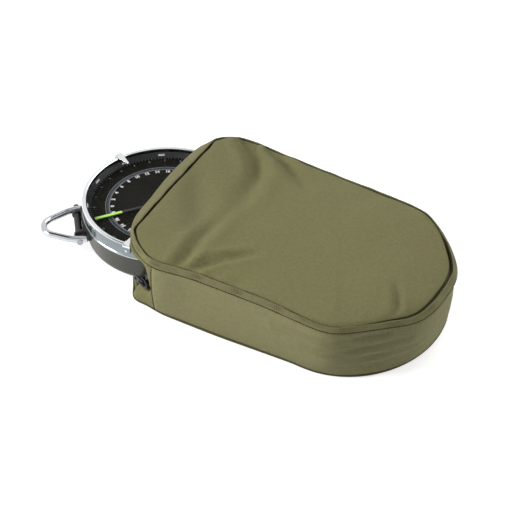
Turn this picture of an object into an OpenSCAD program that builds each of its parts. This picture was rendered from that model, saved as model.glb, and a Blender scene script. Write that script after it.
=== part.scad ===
// Round hanging dial scale, lying half out of the mouth of its padded zip pouch.
// Millimetres. +X runs from the mouth to the round end, +Z is up, the origin is the centre of the base.

/* [Pouch] */
// Length from the mouth to the round end
pouch_l = 250; // [248:1:256]
// Width across the shoulders near the mouth
pouch_w = 172; // [171:1:178]
// Width where the round end starts
waist_w = 160; // [158:1:164]
// Height of the padded side wall
wall_top = 45.6; // [45.4:0.1:47]
// Thickness of the padded side wall
wall_t = 4; // [3.6:0.1:4.4]
// Height of the top panel's crown above the wall
crown_h = 9; // [7:0.5:12]
// Width of one half of the zip
zip_w = 2; // [1.8:0.1:2.2]

/* [Scale] */
// Turn of the scale in the mouth, from straight
scale_turn = 41; // [40:1:42]
// Radius of the bezel
bezel_r = 65; // [64.7:0.1:65.2]
// Radius of the case under the bezel
case_r = 62.5; // [62.3:0.1:62.5]
// Wall of the case
case_t = 2.5; // [2:0.1:2.8]
// Radius of the shackle's rod
shackle_rod = 2.9; // [2.5:0.1:3]
// Radius of the hook's bend, to the middle of its rod
hook_bend = 11; // [9:0.5:11]
// Radius of the hook's rod
hook_rod = 2.4; // [2:0.1:2.4]
// Length of the pointer
pointer_l = 57; // [50:1:57.5]

/* [Movement] */
// Module of the rack and its pinion
gear_m = 0.4; // [0.38:0.01:0.42]
// Turns of each load spring
coil_turns = 12; // [8:1:13]
// Radius of the spring wire
wire_r = 1; // [0.7:0.1:1.1]

/* [Hidden] */
$fn = 64;
olive = [0.48, 0.46, 0.33];
dark_olive = [0.3, 0.28, 0.17];
black = [0.07, 0.07, 0.07];
grey = [0.37, 0.37, 0.35];
chrome = [0.8, 0.8, 0.82];
steel = [0.6, 0.6, 0.62];
brass = [0.72, 0.58, 0.3];
lime = [0.6, 0.85, 0.4];

// Plan of the pouch: six circles with a belt round them, [x, y, radius], counter-clockwise
mouth_r = 38;
front_r = 52;
turn_r = 28;
end_r = 35;
pouch_belt = [
    [front_r - pouch_l / 2 + 6, front_r - pouch_w / 2, front_r],
    [pouch_l / 2 - 65, turn_r - waist_w / 2, turn_r],
    [pouch_l / 2 - end_r, -14, end_r],
    [pouch_l / 2 - end_r, 14, end_r],
    [pouch_l / 2 - 65, waist_w / 2 - turn_r, turn_r],
    [mouth_r - pouch_l / 2, pouch_w / 2 - mouth_r, mouth_r]];
seam_x = 50 - pouch_l / 2;
base_t = 1;
floor_z = 6;
lining_t = 1;
roof_z = wall_top - 0.8;
panel_z = wall_top + 4.4;

// Side view of the spread mouth, as belts round circles, [x, z, radius]: the gap between the lips, and
// the deeper gap where the scale lies on the lower lip
slit_z = 22.5;
slit_x = 41 - pouch_l / 2;
slit_top = 42.6;
gap_belt = [
    [slit_x, slit_z, 4.8],
    [slit_x - 6, slit_top - 8, 8],
    [slit_x - 150, slit_top - 8, 8],
    [slit_x - 150, slit_z, 4.8]];
sill_belt = [
    [slit_x - 17, slit_z, 6],
    [slit_x - 150, slit_z, 6],
    [slit_x - 150, floor_z + 5.9, 6],
    [slit_x - 17, floor_z + 5.9, 6]];

// Levels of the scale
scale_at = [7.7 - pouch_l / 2, -7.7];
axis_z = 21;
case_back = floor_z;
cavity_z = floor_z + case_t;
rim_z = 31.5;
skirt_z = 28.5;
dial_z = 32.4;
glass_z = 37.4;
bezel_top = 41.2;
pin_x = -69;
pin_r = 1.5;
pinion_n = 10;
pinion_shift = 0.4;
pitch_r = gear_m * pinion_n / 2;
pitch_p = PI * gear_m;
collar_x = 68.5;
barrel_x = collar_x + 5.7;
bend_x = barrel_x + 4.2 + hook_bend + 4;

function unit(a) = [cos(a), sin(a)];
function nxt(c, i) = c[(i + 1) % len(c)];
function prv(c, i) = (i + len(c) - 1) % len(c);
function lean(c, i) =
    let (a = c[i], b = nxt(c, i), d = [b[0] - a[0], b[1] - a[1]])
    atan2(d[1], d[0]) - acos((a[2] - b[2]) / norm(d));
function on(k, ang, inset) = [k[0], k[1]] + (k[2] - inset) * unit(ang);
function bend(c, i) = (lean(c, i) - lean(c, prv(c, i)) + 720) % 360;
function ring(c, inset, n) = [
    for (i = [0:len(c) - 1])
        for (j = [0:n])
            on(c[i], lean(c, prv(c, i)) + bend(c, i) * j / n, inset)];

// Area inside a belt, moved inwards by inset. The straight sides are tucked in by a thousandth of
// each circle's radius, so that they cross the circles cleanly
function tucked(k, ang, inset) = on(k, ang, inset + 0.001 * k[2]);
module belt_area(c, inset = 0) {
    for (k = c)
        translate([k[0], k[1]]) circle(k[2] - inset);
    polygon([
        for (i = [0:len(c) - 1])
            each [tucked(c[i], lean(c, i), inset), tucked(nxt(c, i), lean(c, i), inset)]]);
}

// A profile carried round the belt, as one mesh: each point of the profile is [outwards, up]
module belt_sweep(c, profile, n) {
    m = len(profile);
    count = len(c) * (n + 1);
    rings = [for (p = profile) ring(c, -p[0], n)];
    pts = [
        for (i = [0:m - 1])
            for (q = rings[i])
                [q[0], q[1], profile[i][1]]];
    faces = [
        for (i = [0:m - 1])
            for (k = [0:count - 1])
                let (l = (k + 1) % count, j = (i + 1) % m)
                let (a = i * count + k, b = i * count + l, d = j * count + k, e = j * count + l)
                each [[a, d, b], [b, d, e]]];
    polyhedron(pts, faces, convexity = 10);
}

module plate(inset, z0, z1) {
    translate([0, 0, z0])
        linear_extrude(z1 - z0)
        belt_area(pouch_belt, inset);
}

module hoop(outer, inner, z0, z1) {
    difference() {
        plate(outer, z0, z1);
        plate(inner, z0 - 1, z1 + 1);
    }
}

module slit(grow) {
    translate([0, 150, 0])
        rotate([90, 0, 0])
        linear_extrude(300) {
            belt_area(gap_belt, -grow);
            belt_area(sill_belt, -grow);
        }
}

// The mouth end in front of the seams, between two heights
module mouth_end(z0, z1) {
    translate([seam_x - 200, -200, z0]) cube([200, 400, z1 - z0]);
}

// A tube round a path of points, with its radius at each point
function turned(u, t) = let (w = u - (u * t) * t) w / norm(w);
function along(p, i) =
    let (d = p[min(i + 1, len(p) - 1)] - p[max(i - 1, 0)]) d / norm(d);
function frames(p, i, u) =
    let (v = turned(u, along(p, i)))
    i == len(p) - 1 ? [v] : concat([v], frames(p, i + 1, v));
module tube(p, r, n) {
    f = frames(p, 0, [0, 0.3, 1]);
    pts = [
        for (i = [0:len(p) - 1])
            for (k = [0:n - 1])
                p[i] + r[i] * (cos(360 * k / n) * f[i] + sin(360 * k / n) * cross(along(p, i), f[i]))];
    sides = [
        for (i = [0:len(p) - 2])
            for (k = [0:n - 1])
                let (a = i * n + k, b = i * n + (k + 1) % n)
                each [[a, a + n, b], [b, a + n, b + n]]];
    polyhedron(
        pts,
        concat(sides, [[for (k = [0:n - 1]) k]], [[for (k = [0:n - 1]) len(p) * n - 1 - k]]),
        convexity = 10);
}

// Places a child in the scale's own frame: +x towards the hook, the dial's axis on z
module on_scale() {
    translate([scale_at[0], scale_at[1], 0])
        rotate([0, 0, scale_turn])
        children();
}

// Rod along x in the scale's frame, at the height of the load line
module rod_x(x0, x1, r, y = 0) {
    translate([x0, y, axis_z])
        rotate([0, 90, 0])
        cylinder(r = r, h = x1 - x0);
}

// Rod along y in the scale's frame
module rod_y(y0, y1, r, x) {
    translate([x, y0, axis_z])
        rotate([-90, 0, 0])
        cylinder(r = r, h = y1 - y0);
}

module disc(r, z0, z1) {
    translate([0, 0, z0]) cylinder(r = r, h = z1 - z0, $fn = 180);
}

// The pouch

module base_panel() {
    color(olive) plate(0, 0, base_t);
}

module base_foam() {
    color(grey) plate(wall_t + lining_t, base_t, floor_z - lining_t);
}

module base_binding() {
    color(dark_olive) hoop(-1.2, 0, 0.3, 3.3);
}

module side_gusset() {
    color(olive)
        difference() {
            hoop(0, wall_t, base_t, wall_top);
            mouth_end(-1, 60);
        }
}

module lip() {
    difference() {
        hoop(0, wall_t, base_t, wall_top);
        slit(zip_w);
    }
}

module mouth_lip_lower() {
    color(olive)
        intersection() {
            lip();
            mouth_end(0, slit_z);
        }
}

module mouth_lip_upper() {
    color(olive)
        intersection() {
            lip();
            mouth_end(slit_z, 60);
        }
}

module seam_tapes() {
    color(dark_olive)
        intersection() {
            hoop(-0.7, 0, 3.6, wall_top - 1.6);
            translate([seam_x - 1, -200, 0]) cube([2, 400, 60]);
        }
}

module zip_track() {
    intersection() {
        difference() {
            hoop(1, 3, base_t, wall_top);
            slit(0);
        }
        slit(zip_w);
    }
}

module zip_track_lower() {
    color(black)
        intersection() {
            zip_track();
            mouth_end(0, slit_z);
        }
}

module zip_track_upper() {
    color(black)
        intersection() {
            zip_track();
            mouth_end(slit_z, 60);
        }
}

module lining_floor() {
    color(black) plate(wall_t + lining_t, floor_z - lining_t, floor_z);
}

module lining_wall() {
    color(black)
        difference() {
            hoop(wall_t, wall_t + lining_t, base_t, wall_top);
            intersection() {
                slit(zip_w);
                mouth_end(0, 60);
            }
        }
}

module lining_roof() {
    color(black) plate(wall_t + lining_t, roof_z, wall_top);
}

module top_foam() {
    color(grey) plate(6.5, wall_top, panel_z);
}

// Crowned top cloth: rings that step inwards and upwards, each [inset, height]
module top_panel() {
    n = 9;
    rise = crown_h - 4.4;
    steps = [
        [6.4, 0], [6.4, 0.12], [7, 0.3], [8.4, 0.48], [11, 0.68], [15, 0.84], [20, 0.95], [26, 1]];
    count = len(pouch_belt) * (n + 1);
    pts = [
        for (s = steps)
            for (q = ring(pouch_belt, s[0], n))
                [q[0], q[1], panel_z + rise * s[1]]];
    sides = [
        for (i = [0:len(steps) - 2])
            for (k = [0:count - 1])
                let (a = i * count + k, b = i * count + (k + 1) % count)
                each [[a, a + count, b], [b, a + count, b + count]]];
    low = [for (k = [0:count - 1]) k];
    high = [for (k = [0:count - 1]) len(steps) * count - 1 - k];
    color(olive) polyhedron(pts, concat(sides, [low], [high]), convexity = 4);
}

module top_welt() {
    color(olive)
        belt_sweep(
            pouch_belt,
            [
                [0, wall_top], [0.5, wall_top + 0.8], [-5.4, wall_top + 5.4],
                [-6.3, wall_top + 4.8], [-6.3, wall_top + 3.4], [-2, wall_top]],
            14);
}

// The slider sits at the closed end of the zip, on the curve of the front corner
slider_x = slit_x;
slider_turn = asin((slider_x - pouch_belt[0][0]) / front_r);
slider_y = pouch_belt[0][1] - front_r * cos(slider_turn);

module on_zip() {
    translate([slider_x, slider_y, slit_z])
        rotate([0, 0, slider_turn])
        children();
}

module slider_plate(y0, y1) {
    translate([0, y1, 0])
        rotate([90, 0, 0])
        linear_extrude(y1 - y0)
        polygon([[-4.4, -4.4], [-1, -4], [2, -3.4], [4.2, -2.4], [4.2, 2.4], [2, 3.4], [-1, 4], [-4.4, 4.4]]);
}

module zip_slider() {
    color(black)
        on_zip() {
            slider_plate(-1, 0.5);
            slider_plate(3.6, 4.8);
            translate([-1.5, 0.4, -1]) cube([3, 3.3, 2]);
            difference() {
                translate([-2.6, -3.2, -0.8]) cube([5.2, 2.3, 1.6]);
                translate([-1.6, -2.4, -2]) cube([3.2, 1.4, 4]);
            }
        }
}

module zip_pull() {
    color(black)
        on_zip()
        translate([0, -1.7, 0]) {
            translate([0, 0, -2.8]) cylinder(r = 0.5, h = 5.6);
            for (z = [-2.8, 1.6])
                translate([-4.6, -0.45, z]) cube([4.8, 0.9, 1.2]);
            difference() {
                translate([-11, -0.45, -2.8]) cube([6.5, 0.9, 5.6]);
                translate([-8.6, 2, 0]) rotate([90, 0, 0]) cylinder(r = 1.2, h = 4);
            }
        }
}

// The scale's case

module case_shell() {
    color(grey)
        on_scale()
        difference() {
            rotate_extrude($fn = 180)
                difference() {
                    union() {
                        translate([0, case_back]) square([case_r - 5, 5]);
                        translate([0, case_back + 5]) square([case_r, rim_z - case_back - 5]);
                        translate([case_r - 5, case_back + 5]) circle(5);
                    }
                    translate([0, cavity_z]) square([case_r - case_t, 60]);
                }
            rod_x(case_r - 8, case_r + 8, 6);
            for (y = [-7, 7])
                rod_x(-case_r - 8, -case_r + 8, 2, y);
        }
}

module top_bracket() {
    color(black)
        on_scale()
        difference() {
            union() {
                translate([-66, -14.4, axis_z - 6]) cube([8, 28.8, 12]);
                for (y = [-14.4, 11.4]) {
                    translate([pin_x, y, axis_z - 4]) cube([8, 3, 8]);
                    rod_y(y, y + 3, 4, pin_x);
                }
            }
            disc(case_r + 0.02, 0, 60);
            rod_y(-30, 30, pin_r, pin_x);
            for (y = [-7, 7])
                rod_x(-80, -50, 2, y);
            rod_y(-11.4, 11.4, 3.7, pin_x);
        }
}

module bracket_screws() {
    color(steel)
        on_scale()
        for (y = [-7, 7])
            rod_x(-66.1, -54, 2, y);
}

module shackle_pin() {
    color(steel)
        on_scale() {
            rod_y(-22, 22, pin_r, pin_x);
            rod_y(-22.7, -21.9, 2.4, pin_x);
            rod_y(21.9, 22.7, 2.4, pin_x);
        }
}

module pin_sleeve() {
    color(black)
        on_scale()
        difference() {
            rod_y(-11.2, 11.2, 2.9, pin_x);
            rod_y(-30, 30, pin_r, pin_x);
        }
}

module spring_anchor() {
    color(steel)
        on_scale()
        difference() {
            intersection() {
                translate([-60, -31, axis_z - 6]) cube([10, 62, 12]);
                disc(case_r - case_t, 0, 60);
            }
            for (y = [-7, 7])
                rod_x(-80, -54, 2, y);
        }
}

// One load spring: straight ends on its axis, wound between
spring_r = 5;
spring_steps = 12;
spring_path = [
    for (i = [0:coil_turns * spring_steps])
        let (
            a = 360 * i / spring_steps,
            all = 360 * coil_turns,
            r = spring_r * min(1, a / 300, (all - a) / 300),
            x = -45 + 66 * i / (coil_turns * spring_steps))
        [x, r * cos(a), r * sin(a)]];
spring_gap = min([
    for (i = [0:len(spring_path) - 1])
        for (j = [i + spring_steps / 2:len(spring_path) - 1])
            norm(spring_path[i] - spring_path[j]) - 2 * wire_r]);
echo(spring_gap = spring_gap);

module spring(y) {
    p = concat([[-50, 0, 0], [-47, 0, 0]], spring_path, [[23, 0, 0], [26, 0, 0]]);
    color(steel)
        on_scale()
        translate([0, y, axis_z])
        tube(p, [for (q = p) wire_r], 6);
}

module spring_left() {
    spring(24);
}

module spring_right() {
    spring(-24);
}

module bridge_plate() {
    color(brass)
        on_scale()
        difference() {
            translate([-9, -51, 28]) cube([18, 102, 1.6]);
            disc(3, 20, 40);
            for (y = [-46, 46])
                translate([0, y, 20]) cylinder(r = 1.6, h = 20);
        }
}

module bridge_pillars() {
    color(brass)
        on_scale()
        for (y = [-46, 46])
            translate([0, y, cavity_z])
            difference() {
                cylinder(r = 4, h = 28 - cavity_z);
                translate([0, 0, 28 - cavity_z - 8]) cylinder(r = 1.6, h = 9);
            }
}

module bridge_screws() {
    color(steel)
        on_scale()
        for (y = [-46, 46])
            translate([0, y, 0]) {
                translate([0, 0, 22]) cylinder(r = 1.6, h = 7.7);
                translate([0, 0, 29.6]) cylinder(r = 3, h = 1.4);
            }
}

module front_bush() {
    color(brass)
        on_scale()
        difference() {
            disc(3, 26.4, 30.4);
            disc(1.03, 20, 40);
        }
}

module rear_bush() {
    color(brass)
        on_scale()
        difference() {
            disc(4, cavity_z, cavity_z + 4.5);
            disc(1.03, cavity_z + 0.6, 40);
        }
}

module rack_guide() {
    color([0.9, 0.9, 0.86])
        on_scale()
        translate([-5, 5.8, cavity_z]) cube([10, 4, 24 - cavity_z]);
}

module rod_bush() {
    color(brass)
        on_scale()
        difference() {
            union() {
                rod_x(57, 65, 6);
                rod_x(62.6, 65, 7);
            }
            rod_x(50, 70, 3.05);
        }
}

// The bezel, which turns with the dial

module bezel() {
    color(chrome)
        on_scale()
        rotate_extrude($fn = 180)
        polygon([
            [case_r + 0.3, skirt_z], [bezel_r - 0.6, skirt_z], [bezel_r, skirt_z + 0.6],
            [bezel_r, skirt_z + 1.6], [bezel_r - 0.5, skirt_z + 2.2], [bezel_r - 0.2, bezel_top - 1.4],
            [bezel_r - 0.8, bezel_top - 0.3], [bezel_r - 1.6, bezel_top], [bezel_r - 2.8, bezel_top],
            [bezel_r - 3.6, bezel_top - 0.4], [bezel_r - 3.6, bezel_top - 0.8], [62.2, bezel_top - 0.8],
            [62.2, dial_z], [61, dial_z], [61, dial_z - 0.4], [case_r + 0.3, dial_z - 0.4]]);
}

module bezel_gasket() {
    color(black)
        on_scale()
        difference() {
            disc(62.1, glass_z + 2.5, bezel_top - 0.8);
            disc(61.2, 0, 60);
        }
}

module glass() {
    color([0.85, 0.9, 0.9, 0.3]) on_scale() disc(62.1, glass_z, glass_z + 2.5);
}

module chapter_ring() {
    color(black)
        on_scale()
        rotate_extrude($fn = 180)
        polygon([[59.2, dial_z + 1], [62.1, dial_z + 1], [62.1, glass_z], [61.4, glass_z]]);
}

module dial_plate() {
    color(black)
        on_scale()
        difference() {
            disc(62.1, dial_z, dial_z + 1);
            disc(2, 0, 60);
        }
}

lug_turn = -2;

module bezel_lugs() {
    color(chrome)
        on_scale()
        for (k = [0:2])
            rotate([0, 0, lug_turn + 120 * k]) {
                translate([bezel_r + 0.03, -3.2, bezel_top - 6.4]) cube([1.8, 6.4, 7]);
                translate([bezel_r - 4, -3.2, bezel_top]) cube([5.83, 6.4, 0.6]);
                translate([0, 0, bezel_top - 0.9])
                    linear_extrude(1.5)
                    polygon([
                        [bezel_r - 3.66, -2.6], [bezel_r - 3.66, 2.6], [bezel_r - 13.4, 0.9],
                        [bezel_r - 14, 0], [bezel_r - 13.4, -0.9]]);
            }
}

module lug_rivets() {
    color(chrome)
        on_scale()
        for (k = [0:2])
            rotate([0, 0, lug_turn + 120 * k])
            translate([bezel_r + 1.83, 0, bezel_top - 4])
            rotate([0, 90, 0])
            cylinder(r = 1.1, h = 0.5);
}

// The pointer and its arbor

module arbor() {
    color(steel) on_scale() disc(1, cavity_z + 0.8, 36.4);
}

function inv(a) = tan(a) - a * PI / 180;
function half_tooth(rho) =
    let (
        base = pitch_r * cos(20),
        thick = gear_m * (PI / 2 + 2 * pinion_shift * tan(20)) / 2 - 0.03,
        own = rho > base ? inv(acos(base / rho)) : 0)
    (thick / pitch_r + inv(20) - own) * 180 / PI;

module pinion() {
    root = pitch_r - gear_m * (1.25 - pinion_shift);
    tip = pitch_r + gear_m * 1.18;
    flank = [for (j = [0:6]) root + (tip - root) * j / 6];
    color(brass)
        on_scale()
        translate([0, 0, 19])
        difference() {
            linear_extrude(4)
                polygon([
                    for (k = [0:pinion_n - 1])
                        let (mid = 90 - 360 * k / pinion_n)
                        each concat(
                            [for (j = [0:6]) flank[j] * unit(mid + half_tooth(flank[j]))],
                            [for (j = [6:-1:0]) flank[j] * unit(mid - half_tooth(flank[j]))])]);
            translate([0, 0, -1]) cylinder(r = 1, h = 6);
        }
}

pointer_turn = 193;
pointer_split = 35;

module pointer_arm() {
    color(black)
        on_scale()
        translate([0, 0, 35])
        difference() {
            union() {
                cylinder(r = 5, h = 0.8);
                rotate([0, 0, pointer_turn]) translate([-14, -1.2, 0]) cube([14 + pointer_split, 2.4, 0.8]);
            }
            translate([0, 0, -1]) cylinder(r = 1, h = 3);
        }
}

module pointer_tip() {
    color(lime)
        on_scale()
        rotate([0, 0, pointer_turn])
        translate([pointer_split, -1.2, 35])
        cube([pointer_l - pointer_split, 2.4, 0.8]);
}

module pointer_cap() {
    color(black)
        on_scale()
        difference() {
            disc(3, 35.8, 36.9);
            disc(1, 35, 36.4);
        }
}

// The load line

module load_rod() {
    color(steel) on_scale() rod_x(26, collar_x + 3, 3);
}

module crosshead() {
    color(steel)
        on_scale()
        difference() {
            translate([26, -30, axis_z - 5]) cube([5, 60, 10]);
            rod_x(20, 40, 3);
        }
}

module rack() {
    back = 5.6;
    line = pitch_r + pinion_shift * gear_m;
    half = pitch_p / 4 - 0.03;
    color(steel)
        on_scale()
        translate([0, 0, 19.4])
        linear_extrude(3.2)
        polygon(concat(
            [[26, 2.66], [26, back], [-20, back], [-20, 2.66]],
            [for (k = [-15:4])
                let (x = (k + 0.5) * pitch_p)
                each [
                    [x - half - 0.5 * tan(20), line + 0.5],
                    [x - half + gear_m * tan(20), line - gear_m],
                    [x + half - gear_m * tan(20), line - gear_m],
                    [x + half + 0.5 * tan(20), line + 0.5]]]));
}

module swivel_collar() {
    color(chrome)
        on_scale()
        difference() {
            rod_x(collar_x, collar_x + 5.5, 5.2);
            rod_x(collar_x - 1, collar_x + 3, 3);
            rod_x(collar_x - 1, collar_x + 8, 2.06);
        }
}

module hook_swivel() {
    color(chrome)
        on_scale() {
            rod_x(collar_x + 3.2, barrel_x + 1, 2);
            rod_x(barrel_x, barrel_x + 4.2, 4.2);
        }
}

// A cubic curve through four points
function curve(a, b, c, d, t) =
    pow(1 - t, 3) * a + 3 * t * pow(1 - t, 2) * b + 3 * t * t * (1 - t) * c + pow(t, 3) * d;

// The hook's neck leaves the swivel straight, then runs round the bend to a ball tip
neck_x = barrel_x + 4.2;
hook_in = [bend_x, 0, 0] + hook_bend * [cos(220), sin(220), 0];
hook_path = concat(
    [[neck_x, 0, 0]],
    [for (j = [0:6])
        curve(
            [neck_x + 1.2, 0, 0], [neck_x + 4, 0, 0],
            hook_in - 3.2 * [-sin(220), cos(220), 0], hook_in, j / 6)],
    [for (a = [230:10:460]) [bend_x, 0, 0] + hook_bend * [cos(a), sin(a), 0]]);
tip_dir = [-sin(460), cos(460), 0];
tip_ball = [[0.8, 0], [1.6, 0.38], [2.8, 0.5], [4, 0.3], [4.9, -0.4], [5.4, -1.5]];

module hook() {
    n = len(hook_path);
    path = concat(hook_path, [for (q = tip_ball) hook_path[n - 1] + q[0] * tip_dir]);
    radii = concat([for (i = [1:n]) hook_rod], [for (q = tip_ball) hook_rod + q[1]]);
    color(chrome)
        on_scale()
        translate([0, 0, axis_z])
        tube(path, radii, 16);
}

// The shackle: one bent rod. Its ends are drilled for the pin, its legs lean in to a round tip
leg_y = 18.7;
tip_r = 11;
tip_x = -84.8;
leg_lean = 28;
corner_r = 30;
leg_end = [tip_x - tip_r * sin(leg_lean), tip_r * cos(leg_lean)];
corner_x = leg_end[0] + (leg_y - leg_end[1]) / tan(leg_lean);
corner_l = corner_r * tan(leg_lean / 2);

// Half of the bow, from the end of the leg to the tip
bow_mid = [corner_x + corner_l, leg_y - corner_r];
half_bow = concat(
    [[pin_x + 6, leg_y, 0], [pin_x + 4.6, leg_y, 0]],
    [for (j = [0:5])
        let (q = bow_mid + corner_r * unit(90 + leg_lean * j / 5))
        [q[0], q[1], 0]],
    [for (j = [0:7])
        let (q = [tip_x, 0] + tip_r * unit(90 + leg_lean + (90 - leg_lean) * j / 7))
        [q[0], q[1], 0]]);
bow_path = concat(
    half_bow,
    [for (i = [len(half_bow) - 2:-1:0]) [half_bow[i][0], -half_bow[i][1], 0]]);

module shackle() {
    color(chrome)
        on_scale()
        difference() {
            translate([0, 0, axis_z]) tube(bow_path, [for (q = bow_path) shackle_rod], 16);
            rod_y(-40, 40, pin_r + 0.05, pin_x);
        }
}

base_panel();
base_foam();
base_binding();
side_gusset();
mouth_lip_lower();
mouth_lip_upper();
seam_tapes();
zip_track_lower();
zip_track_upper();
lining_floor();
lining_wall();
lining_roof();
top_foam();
top_panel();
top_welt();
zip_slider();
zip_pull();
case_shell();
top_bracket();
bracket_screws();
shackle_pin();
pin_sleeve();
spring_anchor();
spring_left();
spring_right();
bridge_plate();
bridge_pillars();
bridge_screws();
front_bush();
rear_bush();
rack_guide();
rod_bush();
bezel();
bezel_gasket();
glass();
chapter_ring();
dial_plate();
bezel_lugs();
lug_rivets();
arbor();
pinion();
pointer_arm();
pointer_tip();
pointer_cap();
load_rod();
crosshead();
rack();
swivel_collar();
hook_swivel();
hook();
shackle();
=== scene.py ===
# %% [markdown]
# # A round hanging scale, half out of its padded pouch
# The part is a dial scale of the kind that hangs by a shackle and weighs on a hook. It lies in the mouth
# of a soft zip pouch. The CAD frame gives every place and size, in metres, so nothing is fitted by eye here:
# this file loads that frame, then makes the cloth, the print and the finishes round it.

# %% Load the frame
import math

import bmesh
import bpy
import numpy as np
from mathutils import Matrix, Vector


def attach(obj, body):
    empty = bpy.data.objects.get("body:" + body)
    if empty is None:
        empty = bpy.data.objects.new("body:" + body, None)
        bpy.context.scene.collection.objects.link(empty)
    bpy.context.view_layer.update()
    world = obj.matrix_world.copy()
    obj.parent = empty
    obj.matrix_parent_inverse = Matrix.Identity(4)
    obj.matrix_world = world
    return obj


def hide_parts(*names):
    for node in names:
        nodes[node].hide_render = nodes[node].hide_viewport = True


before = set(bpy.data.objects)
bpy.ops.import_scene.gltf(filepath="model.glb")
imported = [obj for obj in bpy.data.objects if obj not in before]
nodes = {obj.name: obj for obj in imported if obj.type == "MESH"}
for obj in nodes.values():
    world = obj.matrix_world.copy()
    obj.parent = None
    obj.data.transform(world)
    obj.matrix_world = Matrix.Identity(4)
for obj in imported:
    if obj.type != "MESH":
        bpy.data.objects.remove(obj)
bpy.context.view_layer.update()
scene = bpy.context.scene
MM = 0.001


def placed(name, data):
    thing = bpy.data.objects.new(name, data)
    scene.collection.objects.link(thing)
    return thing


# %% [markdown]
# ## Camera
# The picture looks down on the pouch from its front right corner through a long lens, so far lines stay
# nearly parallel. The camera is set by where it aims, its two angles and its distance, which is easier to
# correct than a matrix.

# %% Camera
AIM = Vector((-44.5, 10.0, 0.0)) * MM
AZIMUTH, ELEVATION = math.radians(32.0), math.radians(41.07)
DISTANCE, LENS_MM, SENSOR_MM = 1.191, 106.4, 36.0
UP = Vector((0, 0, 1))
toward = Vector((math.sin(AZIMUTH), -math.cos(AZIMUTH), 0))
across = Vector((math.cos(AZIMUTH), math.sin(AZIMUTH), 0))
eye = AIM + DISTANCE * (math.cos(ELEVATION) * toward + math.sin(ELEVATION) * UP)

camera = placed("camera", bpy.data.cameras.new("camera"))
camera.data.lens = LENS_MM
camera.data.sensor_width = SENSOR_MM
camera.location = eye
camera.rotation_euler = (AIM - eye).to_track_quat("-Z", "Y").to_euler()
scene.camera = camera
scene.view_settings.view_transform = "Standard"
print("camera at", [round(v, 4) for v in eye])

# %% [markdown]
# ## Node helpers
# Every finish below is a node tree. A few helpers keep them short: one adds a node and fills or links its
# inputs, one starts a material with a Principled shader, and one sets the stops of a colour ramp. Colours
# are written as the levels a screen shows, from 0 to 255, and made linear here.

# %% Node helpers
def add(tree, kind, inputs=None, **settings):
    made = tree.nodes.new(kind)
    for name, value in settings.items():
        setattr(made, name, value)
    for name, value in (inputs or {}).items():
        if isinstance(value, bpy.types.NodeSocket):
            tree.links.new(value, made.inputs[name])
        else:
            made.inputs[name].default_value = value
    return made


def new_finish(name):
    material = bpy.data.materials.new(name)
    material.use_nodes = True
    tree = material.node_tree
    tree.nodes.clear()
    shader = add(tree, "ShaderNodeBsdfPrincipled")
    add(tree, "ShaderNodeOutputMaterial", {"Surface": shader.outputs["BSDF"]})
    return material, tree, shader


def srgb(*levels):
    linear = [(v / 255 / 12.92) if v < 10 else ((v / 255 + 0.055) / 1.055) ** 2.4 for v in levels]
    return (*linear, 1.0)


def shade(colour, factor):
    return (*[min(1.0, c * factor) for c in colour[:3]], 1.0)


def ramp(tree, fac, *stops):
    made = add(tree, "ShaderNodeValToRGB", {"Fac": fac})
    for k, (position, colour) in enumerate(stops):
        stop = made.color_ramp.elements[k] if k < 2 else made.color_ramp.elements.new(position)
        stop.position, stop.color = position, colour
    return made.outputs["Color"]


def between(tree, fac, low, high):
    return ramp(tree, fac, (0.3, low), (0.7, high))


print("helpers ready")

# %% [markdown]
# ## Studio
# The object lies on a pale floor in soft light. The floor is a real white surface, so it takes the
# object's shadow, and a little of its own light makes it white to the camera and in reflections. The world
# is dim as a lamp. To the camera and to mirrors it is white, apart from a dark ring high up, which draws the
# black lines that polished metal shows in a white room.

# %% Studio
WHITE, DARK_RING, FLOOR_TONE = (1, 1, 1, 1), (0.05, 0.05, 0.05, 1), (0.86, 0.86, 0.86, 1)
FLOOR_HALF, FLOOR_GLOW, WORLD_LEVEL = 3.0, 0.6, 0.25


def seen_directly(tree):
    path = add(tree, "ShaderNodeLightPath").outputs
    seen = path["Is Camera Ray"]
    for kind in ("Is Glossy Ray", "Is Transmission Ray"):
        seen = add(tree, "ShaderNodeMath", {0: seen, 1: path[kind]}, operation="MAXIMUM").outputs[0]
    return seen


def studio_floor():
    corners = [(x * FLOOR_HALF, y * FLOOR_HALF, 0) for x, y in ((-1, -1), (1, -1), (1, 1), (-1, 1))]
    mesh = bpy.data.meshes.new("floor")
    mesh.from_pydata(corners, [], [(0, 1, 2, 3)])
    floor = placed("floor", mesh)
    material, tree, shader = new_finish("studio_floor")
    shader.inputs["Base Color"].default_value = FLOOR_TONE
    shader.inputs["Roughness"].default_value = 0.9
    share = add(tree, "ShaderNodeMath", {0: seen_directly(tree), 1: FLOOR_GLOW}, operation="MULTIPLY")
    glow = add(tree, "ShaderNodeEmission", {"Strength": share.outputs[0]})
    both = add(tree, "ShaderNodeAddShader", {0: shader.outputs["BSDF"], 1: glow.outputs[0]})
    tree.links.new(both.outputs[0], tree.nodes["Material Output"].inputs["Surface"])
    mesh.materials.append(material)


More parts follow.
